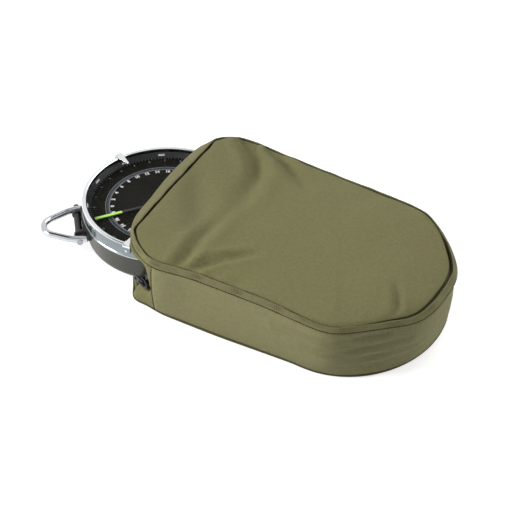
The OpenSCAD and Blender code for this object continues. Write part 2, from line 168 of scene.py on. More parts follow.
def studio_world(level):
    world = bpy.data.worlds.new("studio")
    world.use_nodes = True
    tree = world.node_tree
    tree.nodes.clear()
    lamp = add(tree, "ShaderNodeBackground", {"Color": WHITE, "Strength": level})
    way = add(tree, "ShaderNodeTexCoord").outputs["Generated"]
    height = add(tree, "ShaderNodeSeparateXYZ", {"Vector": way}).outputs["Z"]
    ring = ramp(tree, height, (0.80, WHITE), (0.86, DARK_RING), (0.94, DARK_RING), (0.97, WHITE))
    room = add(tree, "ShaderNodeBackground", {"Color": ring, "Strength": 1.0})
    mix = add(tree, "ShaderNodeMixShader", {0: seen_directly(tree), 1: lamp.outputs[0], 2: room.outputs[0]})
    add(tree, "ShaderNodeOutputWorld", {"Surface": mix.outputs[0]})
    scene.world = world


studio_floor()
studio_world(WORLD_LEVEL)
print("studio: floor and world")

# %% [markdown]
# ## Softboxes
# Three area lamps, each placed by how far it stands aside, near and high as the camera sees it: a key light
# from the left, a weak one from above and behind, and one that lights the round end.

# %% Softboxes
def softbox(name, aside, near, high, size, watts):
    lamp = bpy.data.lights.new(name, "AREA")
    lamp.energy, lamp.size = watts, size
    box = placed(name, lamp)
    box.location = AIM + aside * across + near * toward + high * UP
    box.rotation_euler = (AIM - box.location).to_track_quat("-Z", "Y").to_euler()


softbox("key_light", -1.33, 0.24, 0.75, 0.55, 19.0)
softbox("top_light", 0.6, -0.7, 1.3, 0.9, 7.0)
softbox("end_light", 1.3, -0.1, 0.55, 0.6, 5.0)
print("lamps:", len(bpy.data.lights))

# %% [markdown]
# ## Finishes of the hard parts
# Metal, paint and plastic differ mostly in how rough they are and how evenly. Each finish mixes a slow
# noise, which shifts its colour and gloss in patches, with a fine one, which becomes a slight bump.
# Numbers that are the same all over stand on the shader's own sockets.

# %% Hard finishes
def hard_finish(name, colour, rough, metal=0.0, patch=(45.0, 0.06), grain=(1400.0, 0.03), stretch=(1, 1, 1)):
    material, tree, shader = new_finish(name)
    place = add(tree, "ShaderNodeTexCoord").outputs["Object"]
    place = add(tree, "ShaderNodeMapping", {"Vector": place, "Scale": stretch}).outputs["Vector"]
    slow = add(tree, "ShaderNodeTexNoise", {"Vector": place, "Scale": patch[0], "Detail": 4.0}).outputs["Fac"]
    fine = add(tree, "ShaderNodeTexNoise", {"Vector": place, "Scale": grain[0], "Detail": 2.0}).outputs["Fac"]
    tint = between(tree, slow, shade(colour, 1 - patch[1]), shade(colour, 1 + patch[1]))
    tree.links.new(tint, shader.inputs["Base Color"])
    gloss = add(tree, "ShaderNodeMapRange", {"Value": slow, "From Min": 0.3, "From Max": 0.7,
                                             "To Min": rough * 0.8, "To Max": rough * 1.2})
    tree.links.new(gloss.outputs["Result"], shader.inputs["Roughness"])
    bump = add(tree, "ShaderNodeBump", {"Height": fine, "Strength": grain[1], "Distance": 0.0002})
    tree.links.new(bump.outputs["Normal"], shader.inputs["Normal"])
    shader.inputs["Metallic"].default_value = metal
    return material


chrome = hard_finish("chrome", srgb(196, 199, 203), 0.09, 1.0, (60.0, 0.04), (300.0, 0.01))
steel = hard_finish("steel", srgb(165, 166, 168), 0.28, 1.0, (30.0, 0.06), (900.0, 0.08), (1, 1, 12))
brass = hard_finish("brass", srgb(196, 164, 92), 0.25, 1.0, (40.0, 0.08), (900.0, 0.05))
case_paint = hard_finish("case_paint", srgb(74, 74, 67), 0.32, 0.35, (25.0, 0.05), (1800.0, 0.10))
dial_black = hard_finish("dial_black", srgb(17, 16, 9), 0.6, 0.0, (30.0, 0.10), (2200.0, 0.0))
dial_black.node_tree.nodes["Principled BSDF"].inputs["Specular IOR Level"].default_value = 0.1
black_plastic = hard_finish("black_plastic", srgb(28, 28, 28), 0.4, 0.0, (60.0, 0.10), (1600.0, 0.10))
black_paint = hard_finish("black_paint", srgb(34, 34, 33), 0.38, 0.0, (80.0, 0.12), (900.0, 0.06))
zip_metal = hard_finish("zip_metal", srgb(24, 24, 23), 0.42, 0.2, (200.0, 0.12), (1500.0, 0.10))
lime_paint = hard_finish("lime_paint", srgb(196, 252, 120), 0.45, 0.0, (120.0, 0.04), (1500.0, 0.04))
nylon = hard_finish("nylon", srgb(225, 224, 216), 0.45, 0.0, (60.0, 0.03), (1200.0, 0.05))
rubber = hard_finish("rubber", srgb(24, 24, 24), 0.8, 0.0, (80.0, 0.10), (1500.0, 0.15))
print_white = hard_finish("print_white", srgb(240, 241, 238), 0.6, 0.0, (400.0, 0.06), (2500.0, 0.05))
print_grey = hard_finish("print_grey", srgb(128, 136, 144), 0.6, 0.0, (400.0, 0.10), (2500.0, 0.05))
print("hard finishes made:", len(bpy.data.materials))

# %% [markdown]
# ## Bezel with painted edge highlights
# The ring round the glass is one turned piece. Its broad band is brushed and darker, a shade darker at its
# top;
# narrow near-white strips at its rim and lower edge are painted highlights, for the light its edges catch.
# Height above the table tells them apart, so the same noise finish takes its colour and gloss from a ramp
# over Object z.

# %% Bezel with painted edge highlights
BAND_LOW, BAND_HIGH, BAND_MORE = 0.0296, 0.0396, 0.002
EDGE_HIGHLIGHT, BRUSHED_LOW, BRUSHED_HIGH = srgb(226, 229, 231), srgb(136, 145, 148), srgb(128, 137, 140)
bezel_chrome, bezel_tree, bezel_shader = new_finish("bezel_chrome")
bezel_place = add(bezel_tree, "ShaderNodeTexCoord").outputs["Object"]
height = add(bezel_tree, "ShaderNodeSeparateXYZ", {"Vector": bezel_place}).outputs["Z"]
spread = add(bezel_tree, "ShaderNodeMapRange", {
    "Value": height, "From Min": BAND_LOW - BAND_MORE, "From Max": BAND_HIGH + BAND_MORE}).outputs["Result"]
# Painted highlight: the near-white strips at both ends of the ramp stand for the light caught by the bezel's
# edges.
band = ramp(bezel_tree, spread, (0.12, EDGE_HIGHLIGHT), (0.16, BRUSHED_LOW), (0.87, BRUSHED_HIGH), (0.93, EDGE_HIGHLIGHT))
brushed = add(bezel_tree, "ShaderNodeMapping", {"Vector": bezel_place, "Scale": (60, 60, 1500)})
lines = add(bezel_tree, "ShaderNodeTexNoise", {
    "Vector": brushed.outputs["Vector"], "Scale": 1.0, "Detail": 3.0}).outputs["Fac"]
dull = add(bezel_tree, "ShaderNodeMapRange", {"Value": lines, "To Min": 0.12, "To Max": 0.26})
bezel_tree.links.new(band, bezel_shader.inputs["Base Color"])
bezel_tree.links.new(dull.outputs["Result"], bezel_shader.inputs["Roughness"])
bezel_shader.inputs["Metallic"].default_value = 1.0
print("bezel finish made")

# %% [markdown]
# ## Glass
# The window over the dial is a flat clear disc. A very thin mirror, which lets nearly all light through,
# keeps the print under it sharp and free of noise and still takes a faint trace of the room.

# %% Glass
clear_glass, glass_tree, glass_shader = new_finish("clear_glass")
glass_place = add(glass_tree, "ShaderNodeTexCoord").outputs["Object"]
smear = add(glass_tree, "ShaderNodeTexNoise", {"Vector": glass_place, "Scale": 35.0, "Detail": 5.0})
wipe = add(glass_tree, "ShaderNodeMapRange", {"Value": smear.outputs["Fac"], "To Min": 0.01, "To Max": 0.06})
glass_tree.links.new(wipe.outputs["Result"], glass_shader.inputs["Roughness"])
glass_shader.inputs["Base Color"].default_value = (0.02, 0.025, 0.025, 1)
glass_shader.inputs["Alpha"].default_value = 0.012
print("glass made")

# %% [markdown]
# ## Finishes of the cloth
# The pouch is a coated canvas. Its weave follows the cloth, so it reads the UV map, which every cloth
# piece below lays out in metres: two crossed waves make the threads. At scale 1 a Wave Texture repeats every
# 0.314 m, so the scale follows from the pitch of the thread. A slow noise moves the colour between a
# browner and a greener olive, as the real cloth does, and a faint sheen lifts the edges. The top is painted a
# little darker at the mouth and at the closed end, as painted shade: each shaded end says where it is
# darkest, where the shade ends, both in metres along x, and how dark it gets.

# %% Cloth finishes
WAVE_UNIT = 0.314


def cloth_finish(name, brown, green, pitch, rough=0.85, sheen=0.06, weave_depth=0.35, shaded_ends=()):
    material, tree, shader = new_finish(name)
    spot = add(tree, "ShaderNodeTexCoord")
    wave = {"Vector": spot.outputs["UV"], "Scale": WAVE_UNIT / pitch, "Distortion": 0.6, "Detail": 1.0}
    waves = [add(tree, "ShaderNodeTexWave", wave, bands_direction=way).outputs["Fac"] for way in ("X", "Y")]
    threads = add(tree, "ShaderNodeMath", {0: waves[0], 1: waves[1]}, operation="ADD").outputs[0]
    drift = add(tree, "ShaderNodeTexNoise", {"Vector": spot.outputs["Object"], "Scale": 14.0, "Detail": 5.0,
                                             "Roughness": 0.6}).outputs["Fac"]
    tint = between(tree, drift, brown, green)
    fleck = add(tree, "ShaderNodeTexNoise", {"Vector": spot.outputs["Object"], "Scale": 420.0, "Detail": 2.0})
    dim = add(tree, "ShaderNodeMapRange", {"Value": fleck.outputs["Fac"], "From Min": 0.3, "From Max": 0.7,
                                           "To Min": 0.93, "To Max": 1.07})
    level = dim.outputs["Result"]
    # Painted shade: each shaded end scales the colour down along x, most at its darkest place.
    for darkest_at, shade_fades_at, share in shaded_ends:
        along = add(tree, "ShaderNodeSeparateXYZ", {"Vector": spot.outputs["Object"]}).outputs["X"]
        end_shade = add(tree, "ShaderNodeMapRange", {"Value": along, "From Min": darkest_at, "From Max": shade_fades_at,
                                                "To Min": share, "To Max": 1.0}).outputs["Result"]
        level = add(tree, "ShaderNodeMath", {0: level, 1: end_shade}, operation="MULTIPLY").outputs[0]
    mix = add(tree, "ShaderNodeVectorMath", {0: tint}, operation="SCALE")
    tree.links.new(level, mix.inputs["Scale"])
    tree.links.new(mix.outputs[0], shader.inputs["Base Color"])
    bump = add(tree, "ShaderNodeBump", {"Height": threads, "Strength": weave_depth, "Distance": 0.0003})
    tree.links.new(bump.outputs["Normal"], shader.inputs["Normal"])
    shader.inputs["Roughness"].default_value = rough
    shader.inputs["Sheen Weight"].default_value = sheen
    shader.inputs["Sheen Roughness"].default_value = 0.5
    shader.inputs["Specular IOR Level"].default_value = 0.2
    return material


# Painted shade on the top, at the mouth and at the closed end.
PAINTED_END_SHADE = [(-0.108, -0.045, 0.86), (0.128, 0.080, 0.92)]
olive_cloth = cloth_finish("olive_cloth", srgb(125, 121, 82), srgb(127, 126, 85), 0.0008, shaded_ends=PAINTED_END_SHADE)
# Painted light: the wall's cloth is the top's olive canvas made lighter, for the light that falls on the
# front wall.
lit_wall_cloth = cloth_finish("lit_wall_cloth", srgb(136, 132, 94), srgb(139, 136, 98), 0.0008)
# Painted shade: the lips' cloth is the same olive canvas made darker, for the shade the lips lie in at the
# mouth.
shaded_lip_cloth = cloth_finish("shaded_lip_cloth", srgb(120, 118, 78), srgb(124, 122, 82), 0.0008)
welt_cloth = cloth_finish("welt_cloth", srgb(125, 121, 86), srgb(128, 125, 89), 0.0006)
seam_thread = cloth_finish("seam_thread", srgb(68, 64, 36), srgb(74, 70, 40), 0.0004, 0.85, 0.0)
binding_cloth = cloth_finish("binding_cloth", srgb(78, 72, 46), srgb(84, 79, 50), 0.0006)
lining_cloth = cloth_finish("lining_cloth", srgb(26, 26, 24), srgb(32, 32, 29), 0.0006, 0.6, 0.05)
zip_tape = cloth_finish("zip_tape", srgb(30, 29, 22), srgb(36, 35, 27), 0.0005, 0.75, 0.05)
print("cloth finishes made")

# %% [markdown]
# ## Plan of the pouch
# Seen from above, the pouch is a belt stretched round six circles: wide shoulders at the mouth, a narrower
# round end. Every panel follows that line at its own inset and height, so the line is walked once, evenly,
# and each piece is then a list of insets and heights, in millimetres. A slight smoothing takes off the look
# of a ruler.

# %% Plan of the pouch
BELT = [(-67, -34, 52), (60, -52, 28), (90, -14, 35), (90, 14, 35), (60, 52, 28), (-87, 48, 38)]
PLAN_STEPS, BELT_SOFT = 2000, 16


def belt_line(circles, grow=0.0, step=0.4):
    count = len(circles)
    lean = []
    for i in range(count):
        (x0, y0, r0), (x1, y1, r1) = circles[i], circles[(i + 1) % count]
        lean.append(math.atan2(y1 - y0, x1 - x0) - math.acos((r0 - r1) / math.hypot(x1 - x0, y1 - y0)))
    line = []
    for i, (x, y, r) in enumerate(circles):
        turn = (lean[i] - lean[i - 1]) % math.tau
        bits = max(3, math.ceil((r + grow) * turn / step))
        for k in range(bits + 1):
            a = lean[i - 1] + turn * k / bits
            line.append((x + (r + grow) * math.cos(a), y + (r + grow) * math.sin(a)))
    return np.array(line)


def even_loop(line, count):
    closed = np.vstack([line, line[:1]])
    run = np.concatenate([[0], np.cumsum(np.hypot(*np.diff(closed, axis=0).T))])
    at = np.linspace(0, run[-1], count, endpoint=False)
    return np.stack([np.interp(at, run, closed[:, k]) for k in (0, 1)], 1), run[-1]


def smoothed(loop, reach):
    steps = range(-3 * reach, 3 * reach + 1)
    weights = np.exp(-0.5 * (np.array(steps) / reach) ** 2)
    return sum(w * np.roll(loop, k, axis=0) for w, k in zip(weights / weights.sum(), steps))


def smoothstep(value, low, high):
    t = np.clip((np.asarray(value, float) - low) / (high - low), 0, 1)
    return t * t * (3 - 2 * t)


belt = smoothed(even_loop(belt_line(BELT), PLAN_STEPS)[0], BELT_SOFT)
print("belt round", len(BELT), "circles:", len(belt), "points")

# %% [markdown]
# ## Seams drawn in
# Sewn cloth does not follow the belt to the millimetre: the seam is drawn in along both sides, most at the
# back, and pushed out at the front shoulders and where the lip goes over the scale. Two short lists say by
# how much at each x. The plan then starts at the front mouth seam and runs round the closed end first.

# %% Seams drawn in
SEAM_X = -75.0
BROW, BROW_Y, BROW_WIDE = 2.4, 12, 28
FRONT_DRAW = [
    (-96, 0.2), (-86, -0.2), (-77, -1.5), (-71, -1.2), (-54, 2.2), (-42, 3.3), (11, 3.4), (32, 2.4),
    (48, 1.1), (62, 0.3), (72, -0.6), (80, -1.6), (88, -1.9), (115, -1.9), (120, -1.2), (123, 0.5),
    (125, 0.4)]
BACK_DRAW = [
    (-122, 0.0), (-109, 2.4), (-96, 4.3), (-80, 5.1), (-64, 5.6), (-2, 5.0), (20, 4.2), (35, 3.7), (50, 4.0),
    (66, 4.2), (80, 2.0), (92, -0.2), (104, -0.1), (113, 1.4), (119, 2.4), (123.4, 2.2), (124.7, 1.3),
    (125, 0.4)]
DRAW_SOFT = 20


def drawn_in(spots):
    x, y = spots.T
    sides = np.where(y < 0, np.interp(x, *zip(*FRONT_DRAW)), np.interp(x, *zip(*BACK_DRAW)))
    return sides - BROW * np.exp(-((y - BROW_Y) / BROW_WIDE) ** 2) * (1 - smoothstep(x, -112, -95))


def outward_of(loop):
    ahead = np.roll(loop, -1, axis=0) - np.roll(loop, 1, axis=0)
    ahead /= np.hypot(*ahead.T)[:, None]
    return np.stack([ahead[:, 1], -ahead[:, 0]], 1)


def seam_station(side):
    return np.where(plan[:, 1] * side > 0, np.abs(plan[:, 0] - SEAM_X), np.inf).argmin()


drawn = smoothed(drawn_in(belt), DRAW_SOFT)
plan, around = even_loop(belt - drawn[:, None] * outward_of(belt), PLAN_STEPS)
outward = outward_of(plan)
front = seam_station(-1)
plan, outward = np.roll(plan, -front, axis=0), np.roll(outward, -front, axis=0)
drawn = smoothed(drawn_in(plan), DRAW_SOFT)
back = seam_station(1)
BACK_S = around * back / len(plan)
print("round the pouch: %.0f mm, seam to seam by the round end: %.0f mm" % (around, BACK_S))

# %% [markdown]
# ## Tracks
# A Track is a set of stations on the plan. Its `at` gives one row of points for an inset and a height. Three
# tracks serve all the cloth: round the closed end, round the mouth, and the whole way. Stations stand closer
# near the two mouth seams, where the lips come to a point.

# %% Tracks
class Track:
    def __init__(self, s):
        self.s = np.asarray(s, float)
        spots = np.arange(len(plan)) * around / len(plan)
        self.p = np.stack([np.interp(self.s, spots, plan[:, k], period=around) for k in (0, 1)], 1)
        n = np.stack([np.interp(self.s, spots, outward[:, k], period=around) for k in (0, 1)], 1)
        self.n = n / np.hypot(*n.T)[:, None]
        self.x = self.p[:, 0]
        self.drawn = np.interp(self.s, spots, drawn, period=around)

    def at(self, inset, z):
        inset, z = np.broadcast_to(inset, len(self.s)), np.broadcast_to(z, len(self.s))
        flat = self.p - inset[:, None] * self.n
        return np.column_stack([flat, z]) * MM


NEAR_SEAM = 30.0
LONG_STATIONS, SEAM_STATIONS, MIDDLE_STATIONS = 181, 81, 150
long_way = Track(np.linspace(0, BACK_S, LONG_STATIONS))
mouth_way = Track(np.concatenate([
    np.linspace(BACK_S, BACK_S + NEAR_SEAM, SEAM_STATIONS)[:-1],
    np.linspace(BACK_S + NEAR_SEAM, around - NEAR_SEAM, MIDDLE_STATIONS)[:-1],
    np.linspace(around - NEAR_SEAM, around, SEAM_STATIONS)]))
whole_way = Track(np.concatenate([long_way.s[:-1], mouth_way.s[:-1]]))
print("stations:", len(long_way.s), "round the end and", len(mouth_way.s), "round the mouth")

# %% [markdown]
# ## Lofts and pieces
# `loft` joins rows of points with four-sided faces and lays the UV map in metres along the line and across
# it, or straight from above. It can close along the row, as a ring, and across the rows, as a tube.

# %% Lofts and pieces
MERGE_WITHIN, LEAST_EDGE = 3e-5, 1e-6


def loft(rows, s, ring, tube, row_finish=None, plan_uv=False):
    rows = np.array(rows)
    height, width = rows.shape[:2]
    v = np.concatenate([[0], np.cumsum(np.linalg.norm(np.diff(rows, axis=0), axis=2).mean(1))])
    v = np.append(v, v[-1] + np.linalg.norm(rows[0] - rows[-1], axis=1).mean())
    u = np.append(s, s[-1] + (s[-1] - s[-2])) * MM
    points = rows.reshape(-1, 3)
    faces, uvs, finish = [], [], []
    for r in range(height if tube else height - 1):
        for c in range(width if ring else width - 1):
            corners = [(r, c), (r, c + 1), (r + 1, c + 1), (r + 1, c)]
            faces.append([(a % height) * width + b % width for a, b in corners])
            uvs += [(u[b], v[a]) for a, b in corners]
            finish.append(row_finish[r] if row_finish is not None else 0)
    if tube and not ring:
        for c in (0, width - 1):
            faces.append([r * width + c for r in range(height)])
            uvs += [(v[r], u[c]) for r in range(height)]
            finish.append(0)
    if plan_uv:
        uvs = [tuple(points[i][:2]) for face in faces for i in face]
    return points, faces, uvs, finish


def make_piece(name, points, faces, uvs, finish, materials):
    mesh = bpy.data.meshes.new(name)
    mesh.from_pydata([tuple(p) for p in points], [], faces)
    if uvs is not None:
        layer = mesh.uv_layers.new(name="cloth")
        layer.data.foreach_set("uv", np.array(uvs, np.float32).ravel())
    mesh.polygons.foreach_set("material_index", np.array(finish, np.int32))
    for material in materials:
        mesh.materials.append(material)
    work = bmesh.new()
    work.from_mesh(mesh)
    bmesh.ops.remove_doubles(work, verts=work.verts, dist=MERGE_WITHIN)
    bmesh.ops.dissolve_degenerate(work, edges=work.edges, dist=LEAST_EDGE)
    bmesh.ops.recalc_face_normals(work, faces=work.faces)
    for face in work.faces:
        face.smooth = True
    work.to_mesh(mesh)
    work.free()
    return placed(name, mesh)


def settle(piece, body, slot, *replaced):
    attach(piece, body)
    if replaced:
        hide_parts(*replaced)
    print(piece.name, "faces:", len(piece.data.polygons), "on", body)
    return piece


print("loft ready, merging within %.2f mm" % (MERGE_WITHIN / MM))

# %% [markdown]
# ## Folds
# Cloth over foam shows a few broad folds where it is pulled at a seam. Each fold is a line, a width and a
# depth: a soft valley with a lower ridge on either side. A pucker starts full at its seam and runs out; a
# crease fades at both ends. The top bends along one line that crosses it where the scale's case ends inside,
# and it is dished over the glass. The same helper serves the top panel in plan and the side wall in its own
# flat layout.

# %% Folds
def fold(spots, line, width, depth, from_seam):
    line = np.array(line, float)
    best, share = np.full(len(spots), np.inf), np.zeros(len(spots))
    lengths = np.hypot(*np.diff(line, axis=0).T)
    done = np.concatenate([[0], np.cumsum(lengths)]) / lengths.sum()
    for k, (a, b) in enumerate(zip(line[:-1], line[1:])):
        t = np.clip(((spots - a) @ (b - a)) / lengths[k] ** 2, 0, 1)
        far = np.hypot(*(spots - a - t[:, None] * (b - a)).T)
        nearer = far < best
        best = np.where(nearer, far, best)
        share = np.where(nearer, done[k] + t * (done[k + 1] - done[k]), share)
    fade = (1.05 - share) ** 0.7 if from_seam else np.sqrt(np.sin(np.pi * (0.08 + 0.84 * share)))
    q = best / width
    return -depth * fade * (np.exp(-q ** 2) - 0.35 * np.exp(-(q - 1.9) ** 2))


TOP_FOLDS = [
    ([(-54, -82), (-56, -60), (-57, -40), (-55, -6)], 5.0, 4.8),
    ([(-46, -82), (-38, -69), (-28, -56), (-10, -40)], 3.6, 7.6),
    ([(-90, 74), (-71, 57), (-60, 40), (-53, 4)], 7.0, 7.4),
    ([(-70, 76), (-53, 65), (-38, 57), (-18, 48)], 5.2, 6.4),
    ([(108, -46), (100, -29), (90, -12)], 3.0, 3.6),
    ([(-10, -81), (-4, -68), (0, -58)], 6.0, 1.2),
    ([(34, 80), (26, 64), (20, 52)], 7.0, 1.2),
]
DISHED = ([(-106, 24), (-86, -6), (-66, -34)], 10.0, 3.4)
print("folds in the top:", len(TOP_FOLDS))

# %% [markdown]
# ## Edge of the top
# A welt, which is a folded strip of tape, covers the seam round the top. It is narrow along the sides, wider
# at the round end and widest at the mouth, and it dips at the front of the round end. The panel inside it is
# fullest at the front edge and lowest at the round end. Panel, welt, thread and ribs all ask these helpers,
# so they stay together.

# %% Edge of the top
SIDE_WELT, MOUTH_WELT, END_MORE, BACK_LESS, WELT_DIP = 2.5, 6.4, 0.9, 0.2, 1.5
FRONT_CROWN, BACK_LOWER, END_LOWER = 3.9, 1.1, 1.7


def welt_reach(track):
    mouth = smoothstep(-track.n[:, 0], 0.8, 1.02)
    end = smoothstep(track.n[:, 0], 0.6, 1.02)
    back = smoothstep(track.n[:, 1], 0.6, 0.95)
    return SIDE_WELT + (MOUTH_WELT - track.drawn) * mouth + END_MORE * end - BACK_LESS * back


def welt_dip(track):
    return WELT_DIP * smoothstep(track.x, 10, 60) * smoothstep(-track.n[:, 1], -0.2, 0.5)


def crown(track):
    back = smoothstep(track.n[:, 1], 0.3, 0.9) * smoothstep(track.x, -70, -10)
    return FRONT_CROWN - BACK_LOWER * back - END_LOWER * smoothstep(track.n[:, 0], 0.4, 0.95)


reach, dip, lift = welt_reach(whole_way), welt_dip(whole_way), crown(whole_way)
print("welt from %.1f to %.1f mm wide" % (reach.min(), reach.max()))

# %% [markdown]
# ## Blowing up and easing
# Foam under cloth has no flat place. Blender's cloth, held at the seam and blown up by a little pressure,
# finds the swell by itself. Only its rise is kept, with a soft limit, and a few rounds of smoothing then ease
# the surface where the rings meet.

# %% Blowing up and easing
SWELL_FRAMES = 20


def vertex_places(mesh):
    places = np.zeros(len(mesh.vertices) * 3, np.float32)
    mesh.vertices.foreach_get("co", places)
    return places.reshape(-1, 3).astype(float)


def move_vertices(mesh, places):
    mesh.vertices.foreach_set("co", places.astype(np.float32).ravel())
    mesh.update()


def swell(piece, loose, pressure, most):
    held = piece.vertex_groups.new(name="held")
    held.add([int(i) for i in np.where(~loose)[0]], 1.0, "REPLACE")
    cloth = piece.modifiers.new("swell", "CLOTH")
    cloth.settings.quality = 6
    cloth.settings.mass = 0.25
    cloth.settings.use_pressure = True
    cloth.settings.uniform_pressure_force = pressure
    cloth.settings.effector_weights.gravity = 0.0
    cloth.settings.vertex_group_mass = "held"
    cloth.settings.bending_stiffness = 2.0
    cloth.point_cache.frame_start, cloth.point_cache.frame_end = 1, SWELL_FRAMES
    for step in range(SWELL_FRAMES):
        scene.frame_set(step + 1)
    blown = piece.evaluated_get(bpy.context.evaluated_depsgraph_get())
    rest, new = vertex_places(piece.data), vertex_places(blown.data)
    piece.modifiers.remove(cloth)
    piece.vertex_groups.remove(held)
    scene.frame_set(1)
    rise = most * np.tanh((new - rest)[:, 2] / most)
    rest[:, 2] += rise
    move_vertices(piece.data, rest)
    print(piece.name, "swelled by up to %.1f mm" % (rise.max() / MM))


def ease_out(piece, loose, times):
    work = bmesh.new()
    work.from_mesh(piece.data)
    inner = [vert for vert, free in zip(work.verts, loose) if free]
    for _ in range(times):
        bmesh.ops.smooth_vert(work, verts=inner, factor=0.5, use_axis_z=True)
    work.to_mesh(piece.data)
    work.free()


print("cloth steps:", SWELL_FRAMES)

# %% [markdown]
# ## Padded top panel
# The top is a sandwich of olive cloth, foam and dark lining, sewn down all round. It is made as rings that
# step inwards from the seam and close on a ridge in the middle. At the back and the round end the panel lies
# lower than the welt, which leaves a shadow along the seam.

# %% Padded top panel
SPINE, RIDGE_Z, UNDER_Z, INNER_RING = 0.53, 53.2, 44.8, 26
TOP_EDGE_Z, CROWN_RUN, DIP_RUN = 50.0, 4.6, 7
MOUTH_GAP, END_GAP, BACK_GAP, BACK_GAP_X, BACK_GAP_WIDE, LEAST_SHADOW = 0.8, 2.0, 0.7, 30, 16, 1.0
TOP_STEPS = (0, 0.012, 0.03, 0.06, 0.11, 0.18, 0.27, 0.39, 0.54, 0.75, 1)


def collapsed(ring_row, share, height):
    ridge = ring_row * (SPINE, 0.0, 0.0) + (0.0, 0.0, height * MM)
    return ring_row * (1 - share) + ridge * share


far_side = smoothstep(whole_way.n[:, 1], 0.6, 0.95)
shadow_gap = MOUTH_GAP * (1 - smoothstep(whole_way.x, -112, -75)) + END_GAP * smoothstep(whole_way.x, 84, 116)
shadow_gap += BACK_GAP * far_side * np.exp(-((whole_way.x - BACK_GAP_X) / BACK_GAP_WIDE) ** 2)
edge = reach + LEAST_SHADOW + shadow_gap


def top_ring(share):
    inward = (INNER_RING - edge) * share
    height = TOP_EDGE_Z + lift * (1 - np.exp(-inward / CROWN_RUN)) - dip * np.exp(-inward / DIP_RUN)
    return whole_way.at(edge + inward, height)


under_ring = whole_way.at(INNER_RING, UNDER_Z)
top_rows = [collapsed(under_ring, share, UNDER_Z) for share in np.linspace(1, 0, 9)]
top_rows += [whole_way.at(12, UNDER_Z), whole_way.at(3.6, 45.2), whole_way.at(1.3, 46.25)]
top_rows += [whole_way.at(edge + 0.6, 46.6)]
top_rows += [whole_way.at(edge + 0.3, 48.0 - 0.5 * dip), whole_way.at(edge, 49.2 - 0.8 * dip)]
lined = len(top_rows) - 5
top_rows += [top_ring(share) for share in TOP_STEPS]
top_rows += [collapsed(top_ring(1), share, RIDGE_Z) for share in np.linspace(0, 1, 19)[1:]]
top_finish = [1 if r < lined else 0 for r in range(len(top_rows) - 1)]
top_pad = make_piece(
    "top_pad", *loft(top_rows, whole_way.s, True, False, top_finish, True), [olive_cloth, lining_cloth])
print("top panel:", len(top_rows), "rings")

# %% [markdown]
# ## Folds in the top
# The panel is blown up a little, and the folds are then pressed in. They fade out at the seam, which is held,
# and a soft limit keeps the valleys from going deep into the foam.

# %% Folds in the top
LOOSE_Z, EASE_FROM, EASE_TO, VALLEY_Z = 50.6, 49.7, 50.9, 50.4
MOST_SWELL, MOST_SINK, PRESSURE, EASE_ROUNDS = 0.8, 0.8, 4.0, 12
loose = vertex_places(top_pad.data)[:, 2] > LOOSE_Z * MM
swell(top_pad, loose, PRESSURE, MOST_SWELL * MM)
ease_out(top_pad, loose, EASE_ROUNDS)
places = vertex_places(top_pad.data)
easing = smoothstep(places[:, 2], EASE_FROM * MM, EASE_TO * MM)
for line, width, depth in TOP_FOLDS:
    places[:, 2] += easing * fold(places[:, :2] / MM, line, width, depth, True) * MM
places[:, 2] += easing * fold(places[:, :2] / MM, *DISHED, False) * MM
below = np.where(easing > 0, np.maximum(VALLEY_Z * MM - places[:, 2], 0), 0)
places[:, 2] += below - MOST_SINK * MM * np.tanh(below / (MOST_SINK * MM))
move_vertices(top_pad.data, places)
settle(top_pad, "pouch", "olive_cloth", "top_panel", "top_foam", "lining_roof")

# %% [markdown]
# ## Shape of the wall
# The wall bulges a little between its two seams and is drawn in under the welt at the back of the closed end.
# Its foot there is one smooth half oval, rounder than the seam above it. At the front corner of the mouth the
# scale pushes it out. Soft creases run along it at the far corner. All of this is one inset for each station
# and height.

# %% Shape of the wall
FOOT_X, FOOT_LONG, FOOT_WIDE = 50.0, 70.0, 78.0
HOLLOW_S, HOLLOW_DEEP, HOLLOW_WIDE = 271.0, 2.6, 15
CORNER_S, CORNER_DEEP, CORNER_WIDE = 180.0, 1.5, 30
PUSH_X, PUSH, PUSH_WIDE = -93, 4.4, 8
WALL_TOP, SEAM_PINCH, BULGE = 46, 0.9, 1.3


def foot_tuck(track):
    p, n = (track.p - (FOOT_X, 0)) / (FOOT_LONG, FOOT_WIDE), track.n / (FOOT_LONG, FOOT_WIDE)
    a, b, c = (n * n).sum(1), (p * n).sum(1), (p * p).sum(1) - 1
    round_end = (b - np.sqrt(np.maximum(b * b - a * c, 0))) / a
    straight = 0.4 + 2.2 * smoothstep(track.x, -30, 45)
    straight = straight - PUSH * np.exp(-((track.x - PUSH_X) / PUSH_WIDE) ** 2) * (track.n[:, 1] < 0)
    return straight - track.drawn + (round_end - straight + track.drawn) * smoothstep(track.x, 30, 72)


WALL_FOLDS = [
    ([(92, 40), (120, 35), (150, 36), (190, 40)], 2.0, 1.9),
    ([(104, 30), (135, 27), (160, 28), (206, 33)], 2.2, 2.3),
    ([(128, 21), (165, 19), (216, 25)], 2.4, 2.0),
    ([(150, 12), (185, 13), (222, 19)], 2.6, 1.4),
    ([(236, 30), (258, 26), (280, 29)], 2.4, 1.0),
    ([(20, 36), (45, 33), (70, 36)], 3.0, 0.6),
]


